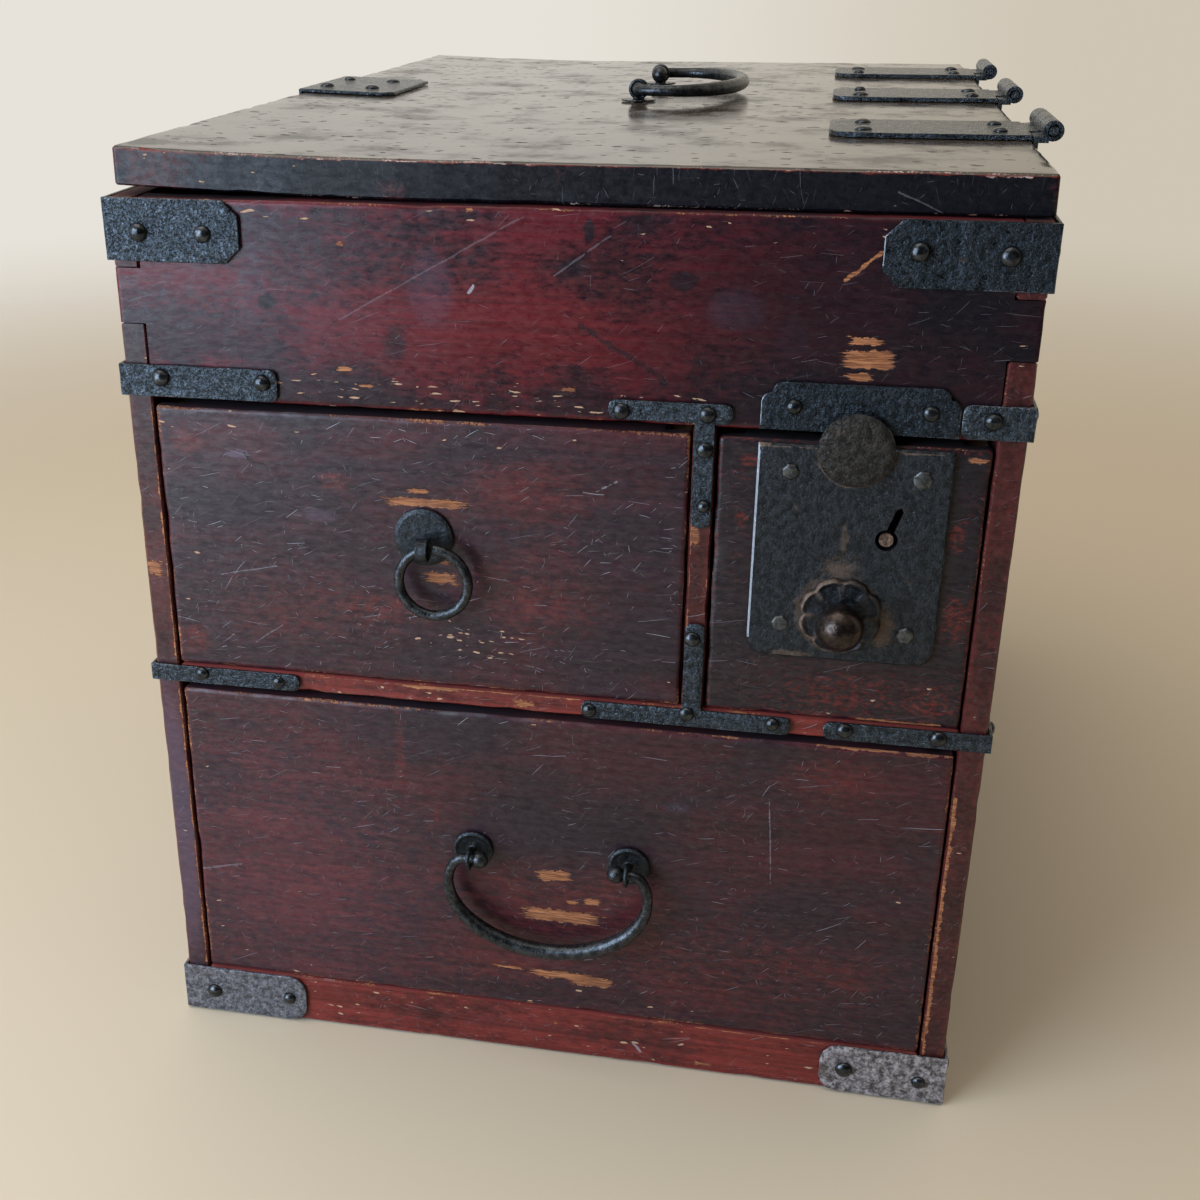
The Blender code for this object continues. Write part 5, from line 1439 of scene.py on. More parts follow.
class WireRecipe(NodeRecipe):
    """Draws a forged round bar along a path that has its own thickness at each point."""

    title = "forged_bar"
    inputs = {
        "Sides": "NodeSocketInt",
        "Dent": "NodeSocketFloat",
        "Lumps": "NodeSocketFloat",
        "Material": "NodeSocketMaterial",
    }

    def wire(self, w: Wiring, given: Outputs) -> Socket:
        """Sweep a circle along the path and dent it."""
        path = w.add("GeometryNodeMeshToCurve", {"Mesh": given["Geometry"]}).outputs[0]
        named = {"Name": "thickness"}
        thick = w.add("GeometryNodeInputNamedAttribute", named, data_type="FLOAT").outputs[0]
        feeds = {"Resolution": given["Sides"], "Radius": 1.0}
        ring = w.add("GeometryNodeCurvePrimitiveCircle", feeds).outputs[0]
        feeds = {"Curve": path, "Profile Curve": ring, "Scale": thick, "Fill Caps": True}
        bar = w.add("GeometryNodeCurveToMesh", feeds).outputs[0]
        spot = w.add("GeometryNodeInputPosition").outputs[0]
        lumps = w.cloud(spot, given["Lumps"])
        depth = w.times(w.minus(lumps, 0.62), given["Dent"])
        normal = w.add("GeometryNodeInputNormal").outputs[0]
        feeds = {"Geometry": bar, "Offset": w.scale(normal, depth)}
        dented = w.add("GeometryNodeSetPosition", feeds).outputs[0]
        return w.add("GeometryNodeSetShadeSmooth", {"Geometry": dented}).outputs[0]


class Head(Enum):
    """The kinds of nail: sides, radius, height, crown, unevenness and smoothness."""

    DOMED = (20, 2.3 * MM, 1.7 * MM, 1.0, 0.15, True)
    SMALL = (18, 2.1 * MM, 1.5 * MM, 1.0, 0.15, True)
    LOW = (18, 2.4 * MM, 1.1 * MM, 0.94, 0.16, True)
    FLAT = (7, 2.3 * MM, 0.9 * MM, 0.62, 0.16, False)


@dataclass
class NailBag:
    """Nails of one kind on one body: where each sits and which way it faces."""

    name: str
    body: str
    head: Head
    finish: Iron
    slot: str = "black_iron"
    seed: int = 3
    spots: list = field(default_factory=list)

    def drive(self, way: Triple, *places: Triple) -> None:
        """Add nails that face one way."""
        self.spots += [(place, way) for place in places]

    def build(self) -> None:
        """Make all the nails as one mesh and hang it on its body."""
        layout = bpy.data.meshes.new(self.name + "_layout")
        layout.from_pydata([place for place, way in self.spots], [], [])
        ways = layout.attributes.new("way", "FLOAT_VECTOR", "POINT")
        ways.data.foreach_set("vector", [part for place, way in self.spots for part in way])
        sides, radius, height, crown, uneven, smooth = self.head.value
        material = self.finish.material(self.name + "_iron")
        values = {
            "Radius": radius,
            "Height": height,
            "Crown": crown,
            "Sides": sides,
            "Uneven": uneven,
            "Smooth": smooth,
            "Seed": self.seed,
            "Material": material,
        }
        piece = NailRecipe().run(self.name, layout, values)
        settle(piece, self.body, self.slot, material)


@dataclass
class Handle:
    """A forged bar that swings in its eyes, drawn along a path of points and radii."""

    node: str
    points: list
    radii: list
    sides: int = 20
    dent: float = 0.16 * MM

    def build(self) -> None:
        """Draw the bar and hang it on its body."""
        path = bpy.data.meshes.new(self.node + "_path")
        path.from_pydata(self.points, [(index, index + 1) for index in range(len(self.points) - 1)], [])
        path.attributes.new("thickness", "FLOAT", "POINT").data.foreach_set("value", self.radii)
        material = HANDLE_IRON.material(self.node + "_iron")
        values = {"Sides": self.sides, "Dent": self.dent, "Lumps": 330.0, "Material": material}
        piece = WireRecipe().run("forged_" + self.node, path, values)
        settle(piece, body_of(self.node), "black_iron", material, self.node)


@dataclass
class BailShape:
    """The shape of a bail: ball ends inside the eyes, shoulders outside them and a long bow between."""

    span: float
    width: float
    drop: float
    shoulder: float
    end: float
    end_wire: float
    wire: float
    ball: float
    eye_wire: float = 0.7 * MM

    def path(self) -> list:
        """Return points as (along the axis, away from it, radius)."""
        half = []
        inner = self.span / 2 - self.end
        meet = math.pi - math.asin(self.end_wire / self.ball)
        for step in range(13):
            angle = 0.12 + (meet - 0.12) * step / 12
            half.append((inner + self.ball * (1 - math.cos(angle)), 0.0, self.ball * math.sin(angle)))
        bend = self.span / 2 + self.eye_wire + self.end_wire / 2
        half.append((bend, 0.0, self.end_wire))
        for step in range(1, 15):
            angle = math.pi / 2 * step / 14
            along = bend + (self.width / 2 - bend) * math.sin(angle)
            half.append((along, self.shoulder * (1 - math.cos(angle)), self.end_wire))
        for step in range(1, 31):
            angle = math.pi / 2 * step / 30
            away = self.shoulder + (self.drop - self.shoulder) * math.sin(angle)
            radius = self.end_wire + (self.wire - self.end_wire) * min(1.0, 2.0 * step / 30)
            half.append((self.width / 2 * math.cos(angle), away, radius))
        left = [(-along, away, radius) for along, away, radius in half]
        return left + list(reversed(half[:-1]))


def joint_place(name: str) -> Vector:
    """Return the point on a joint's axis that the record gives."""
    return Vector(next(joint["pos_m"] for joint in frame["joints"] if joint["name"] == name))


@dataclass
class CaseBoards:
    """The boards of the case."""

    shop: BoardShop
    step: float = 5.0 * MM
    fine_step: float = 2.6 * MM

    def upper_board(self) -> None:
        """Make the tall red rail in front of the top compartment."""
        marks = (
            Mark(Wear.RED, (-6.0, 237.0), (62.0, 15.0), soft=0.8, strength=0.68),
            Mark(Wear.RED, (14.0, 243.0), (36.0, 9.0), soft=0.8, strength=0.6),
            # Painted light: a broad soft red brightens the left end, where the lamp's light falls
            # strongest.
            Mark(Wear.RED, (-78.0, 240.0), (36.0, 13.0), soft=0.9, strength=0.6),
            Mark(Wear.BLOOM_AND_SHEEN, (-33.0, 243.0), (6.0, 10.0), ragged=0.1, soft=0.3, strength=0.7),
            Mark(Wear.BLOOM_AND_SHEEN, (46.8, 240.5), (7.2, 5.0), ragged=0.15, soft=0.35),
            Mark(Wear.BLOOM_AND_SHEEN, (61.0, 233.5), (4.0, 4.8), ragged=0.15, soft=0.4, strength=0.7),
            Mark(Wear.BLOOM_AND_SHEEN, (-82.0, 243.0), (5.0, 13.0), ragged=0.15, soft=0.5, strength=0.7),
            # Painted sheen: a broad soft bloom over the left end stands in for the lamp's light glancing
            # off the lacquer there.
            Mark(Wear.BLOOM_AND_SHEEN, (-80.0, 238.0), (30.0, 24.0), ragged=0.2, soft=0.9, strength=0.45),
            Mark(Wear.DARK, (-78.0, 238.0), (2.4, 2.2), soft=0.3),
            Mark(Wear.DARK, (-43.0, 228.3), (3.0, 4.4), soft=0.4, strength=0.8),
            Mark(Wear.DARK, (33.2, 247.3), (3.6, 2.6), soft=0.2),
            Mark(Wear.DARK, (4.7, 249.6), (4.4, 2.8), soft=0.4, strength=0.7),
            Mark(Wear.DARK, (38.5, 225.4), (3.4, 5.0), soft=0.4, strength=0.8),
            Mark(Wear.DARK, (8.8, 259.2), (1.4, 2.8), soft=0.3),
            Mark(Wear.DARK, (100.0, 238.0), (70.0, 42.0), ragged=0.16, soft=0.6),
            Mark(Wear.DARK, (-108.0, 238.0), (14.0, 40.0), ragged=0.12, soft=0.6, strength=0.12),
            Mark(Wear.GOUGE, (7.0, 235.0), (0.8, 0.0), to=(29.5, 222.0), ragged=0.5, strength=0.8),
            Mark(Wear.SCORE, (-58.0, 234.0), (0.3, 0.0), to=(-9.4, 261.7), ragged=0.4, strength=0.14),
            Mark(Wear.SCORE, (-0.1, 247.7), (0.3, 0.0), to=(14.3, 258.2), ragged=0.4, strength=0.18),
            Mark(Wear.SCORE, (-22.7, 242.6), (0.45, 0.0), to=(-21.4, 244.4), ragged=0.4, strength=0.8),
            Mark(Wear.WORN, (73.1, 249.2), (0.55, 0.0), to=(81.1, 256.2), ragged=0.5),
            Mark(Wear.BARE, (79.2, 234.1), (4.4, 1.2), ragged=0.3),
            Mark(Wear.BARE, (80.3, 229.5), (7.2, 2.7), ragged=0.16),
            Mark(Wear.BARE, (78.4, 225.0), (3.4, 1.1), ragged=0.3),
            Mark(Wear.BARE, (-57.0, 254.0), (0.9, 0.5)),
            Mark(Wear.BARE, (-22.0, 263.6), (1.0, 0.6)),
            Mark(Wear.BARE, (-57.3, 220.6), (2.4, 0.7)),
            Mark(Wear.BARE, (-51.3, 216.2), (2.0, 0.5)),
            Mark(Wear.BARE, (4.0, 218.0), (1.8, 0.7)),
            Mark(Wear.FLECKED, (-30.0, 212.5), (62.0, 6.0), soft=0.4, strength=0.6),
        )
        board = Board("upper_front_board", Grain.ALONG_X, FORWARD)
        self.shop.fit(board, self.fine_step, "red_lacquer", RED_BOARD.material(board, marks))

    def sides(self) -> None:
        """Make the two end boards, whose front edges are the stiles."""
        left = Board("left_side", Grain.ALONG_Y, LEFTWARD)
        marks = (
            Mark(Wear.BARE, (-118.4, 158.0), (2.3, 2.6), ragged=0.4),
            Mark(Wear.DARK, (-119.0, 228.0), (8.0, 9.0), soft=0.3, strength=0.8),
            # Painted sheen: a pale bloom down the lower stile stands in for the lamp's light glancing off
            # it.
            Mark(Wear.BLOOM_AND_SHEEN, (-118.5, 70.0), (5.0, 48.0), ragged=0.2, soft=0.4, strength=1.6),
            Mark(Wear.WORN, (-113.9, 130.0), (0.75, 0.0), to=(-113.9, 206.0), ragged=0.4),
            Mark(Wear.WORN, (-113.9, 19.0), (0.85, 0.0), to=(-113.9, 118.0), ragged=0.45),
        )
        self.shop.fit(left, self.step, "brown_lacquer", BROWN_STILE.material(left, marks))
        right = Board("right_side", Grain.ALONG_Y, RIGHTWARD)
        marks = (
            Mark(Wear.WORN, (114.4, 18.0), (0.85, 0.0), to=(114.4, 106.0), ragged=0.5),
            Mark(Wear.WORN, (113.9, 130.0), (0.3, 0.0), to=(113.9, 205.0), ragged=0.6),
        )
        self.shop.fit(right, self.step, "brown_lacquer", BROWN_STILE.material(right, marks))

    def inner_boards(self) -> None:
        """Make the base, shelf, partition and back, and finish the compartment's floor."""
        base = Board("base_board", Grain.ALONG_X, FORWARD, 0.3)
        marks = (
            Mark(Wear.WORN, (16.0, 17.0), (0.5, 0.0), to=(88.0, 17.0), ragged=0.6),
            Mark(Wear.SCORE, (27.0, 7.2), (0.5, 0.0), to=(29.4, 4.6), ragged=0.4, strength=0.6),
            Mark(Wear.BARE, (2.2, 11.4), (0.6, 0.5)),
            Mark(Wear.BARE, (49.0, 2.9), (2.6, 0.6)),
            Mark(Wear.DARK, (-20.0, 9.0), (40.0, 2.0), soft=0.6, strength=0.35),
        )
        self.shop.fit(base, self.step, "red_lacquer", RED_RAIL.material(base, marks))
        shelf = Board("drawer_shelf", Grain.ALONG_X, FORWARD, 0.3)
        marks = (
            Mark(Wear.WORN, (-74.0, 127.3), (0.5, 0.0), to=(8.0, 127.3), ragged=0.5),
            Mark(Wear.BARE, (-36.0, 126.6), (9.0, 0.8), ragged=0.4),
            Mark(Wear.BARE, (-8.0, 124.2), (3.0, 1.3), ragged=0.5),
        )
        self.shop.fit(shelf, self.step, "red_lacquer", RED_RAIL.material(shelf, marks))
        partition = Board("drawer_partition", Grain.ALONG_Y, FORWARD, 0.3)
        marks = (
            Mark(Wear.WORN, (37.6, 150.0), (0.4, 0.0), to=(37.6, 186.0), ragged=0.6),
            Mark(Wear.WORN, (43.1, 150.0), (0.45, 0.0), to=(43.1, 186.0), ragged=0.6),
            Mark(Wear.BARE, (39.0, 180.0), (1.2, 3.0), ragged=0.5, strength=0.8),
        )
        self.shop.fit(partition, self.step, "brown_lacquer", BROWN_STILE.material(partition, marks))
        back = Board("back_panel", Grain.ALONG_X, BACKWARD)
        self.shop.fit(back, self.step, "brown_lacquer", BROWN_STILE.material(back))
        keep("compartment_floor", BareWood().material("compartment_floor_wood", Grain.ALONG_X))

    def build(self) -> None:
        """Make every board of the case."""
        self.upper_board()
        self.sides()
        self.inner_boards()


@dataclass
class CaseIrons:
    """The irons nailed to the case and their nails."""

    forge: Forge
    lap_x: float = 99.2 * MM
    side_setback: float = 22.0 * MM

    def plates(self) -> None:
        """Forge the corner irons, straps and strike plate."""
        plain = (
            "corner_iron_top_left",
            "rail_strap_upper_left",
            "rail_strap_upper_right",
            "rail_strap_lower_left",
            "rail_strap_lower_right",
            "partition_strap_top",
            "partition_strap_bottom",
        )
        for node in plain:
            piece = self.forge.make(node)
            settle(piece, "case", "black_iron", BLACK_IRON.material(node + "_iron", node), node)
        for node, lap in (("corner_iron_top_right", self.lap_x), ("strike_plate", None)):
            piece = self.forge.make(node, lap=lap)
            settle(piece, "case", "black_iron", EDGED_IRON.material(node + "_iron", node), node)
        battered = (
            ("corner_iron_bottom_left", 1.3, GREY_IRON),
            ("corner_iron_bottom_right", 1.9, RUSTY_IRON),
        )
        for node, dent, iron in battered:
            piece = self.forge.make(node, dent=dent)
            settle(piece, "case", "black_iron", iron.material(node + "_iron", node), node)

    def nails(self) -> None:
        """Drive the nails of the front and of the side legs."""
        front = (
            (-112.5, 255.6), (-94.4, 255.6), (90.0, 256.8), (111.2, 256.3),
            (-112.0, 8.2), (-86.0, 8.9), (114.3, 7.7), (92.0, 9.0),
            (-110.0, 216.1), (-80.6, 215.9), (112.0, 215.5),
            (62.7, 216.8), (96.7, 216.7),
        )
        small = (
            (-106.0, 125.5), (-82.0, 124.7), (82.7, 125.4), (107.9, 125.2),
            (18.3, 213.3), (40.9, 213.4), (40.6, 203.9), (40.8, 188.4),
            (39.6, 149.4), (38.9, 126.1), (11.2, 124.6), (62.9, 125.3),
        )
        large_bag = NailBag("case_nails", "case", Head.DOMED, NAIL_IRON)
        small_bag = NailBag("case_small_nails", "case", Head.SMALL, NAIL_IRON, seed=11)
        facing = FORWARD
        large_bag.drive(facing, *((x * MM, IRON_FACE, z * MM) for x, z in front))
        small_bag.drive(facing, *((x * MM, IRON_FACE, z * MM) for x, z in small))
        for node in ("corner_iron_top", "corner_iron_bottom", "rail_strap_upper", "rail_strap_lower"):
            bag = small_bag if node == "rail_strap_lower" else large_bag
            for side, way in (("left", -1.0), ("right", 1.0)):
                low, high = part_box(f"{node}_{side}")
                face = high.x if way > 0 else low.x
                middle = (low.z + high.z) / 2
                for setback in (0.45 * self.side_setback, 1.3 * self.side_setback):
                    bag.drive((way, 0.0, 0.0), (face, low.y + setback, middle))
        for place in ("front", "middle", "rear"):
            low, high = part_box("hinge_case_leaf_" + place)
            leaf_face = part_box("right_side")[1].x + LEAF_THICKNESS
            for along in (0.28, 0.72):
                for drop in (6.0 * MM, 30.0 * MM):
                    spot = (leaf_face, low.y + (high.y - low.y) * along, low.z + drop)
                    large_bag.drive(RIGHTWARD, spot)
        large_bag.build()
        small_bag.build()

    def build(self) -> None:
        """Forge the irons and drive their nails."""
        self.plates()
        self.nails()


@dataclass
class Lid:
    """The lid with its hinges, edge strap, handle posts and handle."""

    shop: BoardShop
    forge: Forge
    step: float = 4.5 * MM
    handle: BailShape = field(
        default_factory=lambda: BailShape(0.069, 0.0805, 0.0335, 0.0105, 0.0072, 0.00185, 0.0024, 0.003)
    )

    def board(self) -> None:
        """Make the lid board, which curls up at its left edge."""
        curl = Curl(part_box("lid_board")[0].x)
        board = Board("lid_board", Grain.ALONG_Y, UPWARD, -2.0, curl)
        top = board.corners()[1].z / MM
        rim = top - 0.4
        marks = (
            Mark(Wear.RED, (-121.0, rim), (0.4, 0.0), to=(121.0, rim), ragged=0.4, strength=2.0),
            Mark(Wear.WORN, (-96.0, top - 0.35), (0.26, 0.0), to=(-10.0, top - 0.35), ragged=1.1),
            Mark(Wear.WORN, (-10.0, top - 0.3), (0.2, 0.0), to=(84.0, top - 0.3), ragged=1.2),
            Mark(Wear.WORN, (104.0, top - 0.5), (0.5, 0.0), to=(114.0, top - 0.5), ragged=0.7),
            Mark(Wear.RED, (26.0, 263.0), (5.0, 1.1), ragged=0.2, soft=0.2, strength=1.25),
            Mark(Wear.SCORE, (84.0, 270.0), (0.25, 0.0), to=(100.0, 263.0), ragged=0.4, strength=0.2),
        )
        self.shop.fit(board, self.step, "lid_lacquer", BLACK_LID.material(board, marks))

    def hinges(self) -> None:
        """Forge the strap hinges and keep their pins."""
        pin = BLACK_IRON.material("hinge_pin_iron")
        for place in ("front", "middle", "rear"):
            for node in ("hinge_case_leaf_" + place, "hinge_lid_strap_" + place):
                piece = self.forge.make(node, dent=0.9, cell=1.3, outward=UPWARD)
                settle(piece, body_of(node), "black_iron", BLACK_IRON.material(node + "_iron"), node)
            keep("hinge_pin_" + place, pin)

    def fittings(self) -> None:
        """Forge the edge strap, the posts and the handle, and drive the lid's nails."""
        node = "lid_edge_strap"
        piece = self.forge.make(node, outward=UPWARD)
        settle(piece, "lid", "black_iron", BLACK_IRON.material(node + "_iron"), node)
        for node in ("lid_handle_post_front", "lid_handle_post_rear"):
            piece = self.forge.fuse(node, POST_GRAIN)
            settle(piece, "lid", "black_iron", HANDLE_IRON.material(node + "_iron"), node)
        pivot = joint_place("lid_handle_swing")
        path = self.handle.path()
        points = [(pivot.x + away, pivot.y + along, pivot.z) for along, away, radius in path]
        Handle("lid_handle", points, [radius for along, away, radius in path]).build()
        bag = NailBag("lid_nails", "lid", Head.LOW, NAIL_IRON, seed=7)
        for place in ("front", "middle", "rear"):
            low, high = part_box("hinge_lid_strap_" + place)
            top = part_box("lid_board")[1].z - Curl(0.0).rise + LEAF_THICKNESS
            middle = (low.y + high.y) / 2
            for across in (75.5 * MM, 113.0 * MM):
                for along in (-9.5 * MM, 9.5 * MM):
                    bag.drive(UPWARD, (across, middle + along, top))
        low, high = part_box("lid_edge_strap")
        curl = Curl(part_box("lid_board")[0].x)
        flat_top = high.z - curl.lift(low.x + 1.3 * MM)
        for across in (-115.5 * MM, -98.5 * MM):
            for along in (0.26, 0.76):
                place = (across, low.y + (high.y - low.y) * along, flat_top + curl.lift(across))
                bag.drive(UPWARD, place)
        bag.build()

    def build(self) -> None:
        """Make everything that belongs to the lid."""
        self.board()
        self.hinges()
        self.fittings()


@dataclass
class Drawer:
    """A drawer: its lacquered front and the bare boards behind it."""

    shop: BoardShop
    forge: Forge
    label: ClassVar[str] = ""
    finish: ClassVar[Lacquer] = DARK_FRONT
    step: ClassVar[float] = 2.6 * MM

    def marks(self) -> tuple:
        """Return the marks of wear on the front."""
        return ()

    def box(self) -> None:
        """Make the front and finish the boards behind it."""
        board = Board(self.label + "_front", Grain.ALONG_X, FORWARD)
        self.shop.fit(board, self.step, "dark_lacquer", self.finish.material(board, self.marks()))
        wood = BareWood()
        along = wood.material(self.label + "_side_wood", Grain.ALONG_Y)
        across = wood.material(self.label + "_back_wood", Grain.ALONG_X)
        for part, material in (("left", along), ("right", along), ("back", across), ("bottom", along)):
            keep(f"{self.label}_{part}", material)


@dataclass
class RingDrawer(Drawer):
    """The upper left drawer with its ring."""

    label: ClassVar[str] = "ring_drawer"
    finish: ClassVar[Lacquer] = SCRATCHED_FRONT
    ring_radius: float = 9.9 * MM
    ring_wire: float = 1.5 * MM
    ring_lean: float = 2.7 * MM
    ring_gap: float = math.radians(9)
    ring_turn: float = math.radians(17.8)

    def marks(self) -> tuple:
        """Return the marks of wear on the front."""
        return (
            Mark(Wear.BARE, (-36.0, 183.8), (12.4, 1.4), ragged=0.3),
            Mark(Wear.BARE, (-38.0, 187.0), (3.2, 0.7), ragged=0.4),
            Mark(Wear.BARE, (-31.5, 161.5), (5.0, 1.9), ragged=0.3),
            Mark(Wear.BARE, (-31.0, 166.2), (2.2, 0.5), ragged=0.4),
            Mark(Wear.FLECKED, (-23.0, 141.5), (14.0, 5.0), soft=0.4, strength=0.8),
            Mark(Wear.RED, (-50.0, 150.5), (18.0, 4.6), soft=0.7),
            Mark(Wear.RED, (-8.0, 187.5), (17.0, 8.0), soft=0.8, strength=0.6),
            Mark(Wear.RED, (-2.0, 155.0), (15.0, 9.0), soft=0.8, strength=0.7),
            Mark(Wear.RED, (-105.0, 197.0), (4.0, 3.0), soft=0.6),
            Mark(Wear.RED, (-62.0, 188.4), (4.5, 2.4), soft=0.6),
            Mark(Wear.RED, (-108.0, 137.0), (5.0, 4.5), soft=0.6),
            Mark(Wear.RED, (-20.0, 170.0), (26.0, 16.0), soft=0.9, strength=0.3),
            Mark(Wear.RED, (-74.0, 149.0), (30.0, 14.0), ragged=0.2, soft=0.9, strength=0.6),
            Mark(Wear.BLOOM_AND_SHEEN, (-89.6, 194.8), (3.0, 1.3), ragged=0.5, soft=0.2, strength=1.8),
            Mark(Wear.GOUGE, (-87.6, 195.0), (0.5, 0.0), to=(-85.4, 192.8), ragged=0.5),
            Mark(Wear.BLOOM_AND_SHEEN, (-67.0, 178.0), (5.0, 1.7), soft=0.5),
            Mark(Wear.SCORE, (-97.7, 157.6), (0.22, 0.0), to=(-80.4, 161.7), ragged=0.6, strength=0.3),
            Mark(Wear.SCORE, (-88.7, 136.7), (0.22, 0.0), to=(-79.9, 143.0), ragged=0.6, strength=0.26),
            Mark(Wear.SCORE, (12.0, 190.1), (0.26, 0.0), to=(17.6, 193.4), ragged=0.7, strength=0.45),
        )

    def build(self) -> None:
        """Make the drawer, its post and its ring."""
        self.box()
        piece = self.forge.fuse("ring_post", POST_GRAIN)
        settle(piece, "ring_drawer", "black_iron", LOCK_IRON.material("ring_post_iron"), "ring_post")
        pivot = joint_place("ring_swing")
        drop = math.sqrt(self.ring_radius**2 - self.ring_lean**2)
        start = math.atan2(drop, -self.ring_lean) - self.ring_turn
        sweep = 2 * math.pi - self.ring_gap
        points = []
        for step in range(85):
            angle = start - sweep * step / 84
            across = self.ring_lean + self.ring_radius * math.cos(angle)
            points.append((pivot.x + across, pivot.y, pivot.z + self.ring_radius * math.sin(angle) - drop))
        Handle("ring_pull", points, [self.ring_wire] * len(points), dent=0.12 * MM).build()


@dataclass
class LowerDrawer(Drawer):
    """The full width drawer with its bail."""

    label: ClassVar[str] = "lower_drawer"
    bail: BailShape = field(
        default_factory=lambda: BailShape(0.0475, 0.0607, 0.0304, 0.0085, 0.0058, 0.00155, 0.0024, 0.0027)
    )

    def marks(self) -> tuple:
        """Return the marks of wear on the front."""
        return (
            Mark(Wear.BARE, (1.3, 66.6), (5.6, 2.1), ragged=0.25),
            Mark(Wear.BARE, (13.0, 58.6), (2.6, 1.3), ragged=0.3),
            Mark(Wear.BARE, (7.0, 57.6), (1.8, 0.8), ragged=0.4),
            Mark(Wear.BARE, (3.2, 52.2), (12.6, 2.5), ragged=0.22),
            Mark(Wear.BARE, (5.0, 30.2), (11.0, 1.6), ragged=0.35),
            Mark(Wear.BARE, (13.0, 29.0), (6.4, 2.0), ragged=0.3),
            Mark(Wear.BARE, (-13.0, 30.9), (5.0, 0.5), ragged=0.4),
            Mark(Wear.RED, (3.0, 60.0), (30.0, 11.0), soft=0.8, strength=0.5),
            Mark(Wear.RED, (-38.0, 66.0), (9.0, 8.0), soft=0.8, strength=0.6),
            Mark(Wear.RED, (-45.7, 104.0), (1.6, 15.0), soft=0.6, strength=0.8),
            Mark(Wear.RED, (-85.0, 82.0), (18.0, 5.0), soft=0.8, strength=0.7),
            Mark(Wear.RED, (80.0, 108.0), (12.0, 9.0), soft=0.8, strength=0.6),
            Mark(Wear.RED, (-35.0, 84.0), (1.0, 2.6), soft=0.4),
            Mark(Wear.RED, (60.0, 40.0), (40.0, 14.0), soft=0.9, strength=0.6),
            # Painted light: a broad soft red brightens the left of the front, where the lamp's light falls
            # stronger.
            Mark(Wear.RED, (-80.0, 62.0), (44.0, 42.0), ragged=0.2, soft=0.9, strength=0.75),
            Mark(Wear.RED, (-40.0, 31.0), (56.0, 10.0), ragged=0.2, soft=0.9, strength=0.6),
            # Painted sheen: a broad soft bloom over the left stands in for the lamp's light glancing off
            # the lacquer.
            Mark(Wear.BLOOM_AND_SHEEN, (-82.0, 58.0), (40.0, 46.0), ragged=0.2, soft=0.9, strength=0.4),
            Mark(Wear.DARK, (12.0, 96.0), (58.0, 20.0), ragged=0.2, soft=0.9, strength=0.4),
            Mark(Wear.SCORE, (63.7, 100.4), (0.2, 0.0), to=(65.8, 72.0), ragged=0.8, strength=0.36),
            Mark(Wear.SCORE, (-112.8, 54.9), (0.3, 0.0), to=(-99.6, 58.1), ragged=0.6, strength=0.24),
            Mark(Wear.GOUGE, (33.9, 96.2), (0.9, 0.0), to=(40.7, 90.7), ragged=0.5, strength=0.7),
            Mark(Wear.BLOOM_AND_SHEEN, (36.5, 94.5), (3.5, 1.4), soft=0.5),
            Mark(Wear.WORN, (76.0, 119.2), (0.5, 0.0), to=(113.0, 119.2), ragged=0.7),
        )

    def build(self) -> None:
        """Make the drawer, its posts and its bail."""
        self.box()
        for node in ("bail_post_left", "bail_post_right"):
            piece = self.forge.fuse(node, POST_GRAIN)
            settle(piece, "lower_drawer", "black_iron", LOCK_IRON.material(node + "_iron"), node)
        pivot = joint_place("bail_swing")
        path = self.bail.path()
        points = [(pivot.x + along, pivot.y, pivot.z - away) for along, away, radius in path]
        Handle("bail_handle", points, [radius for along, away, radius in path], sides=24).build()


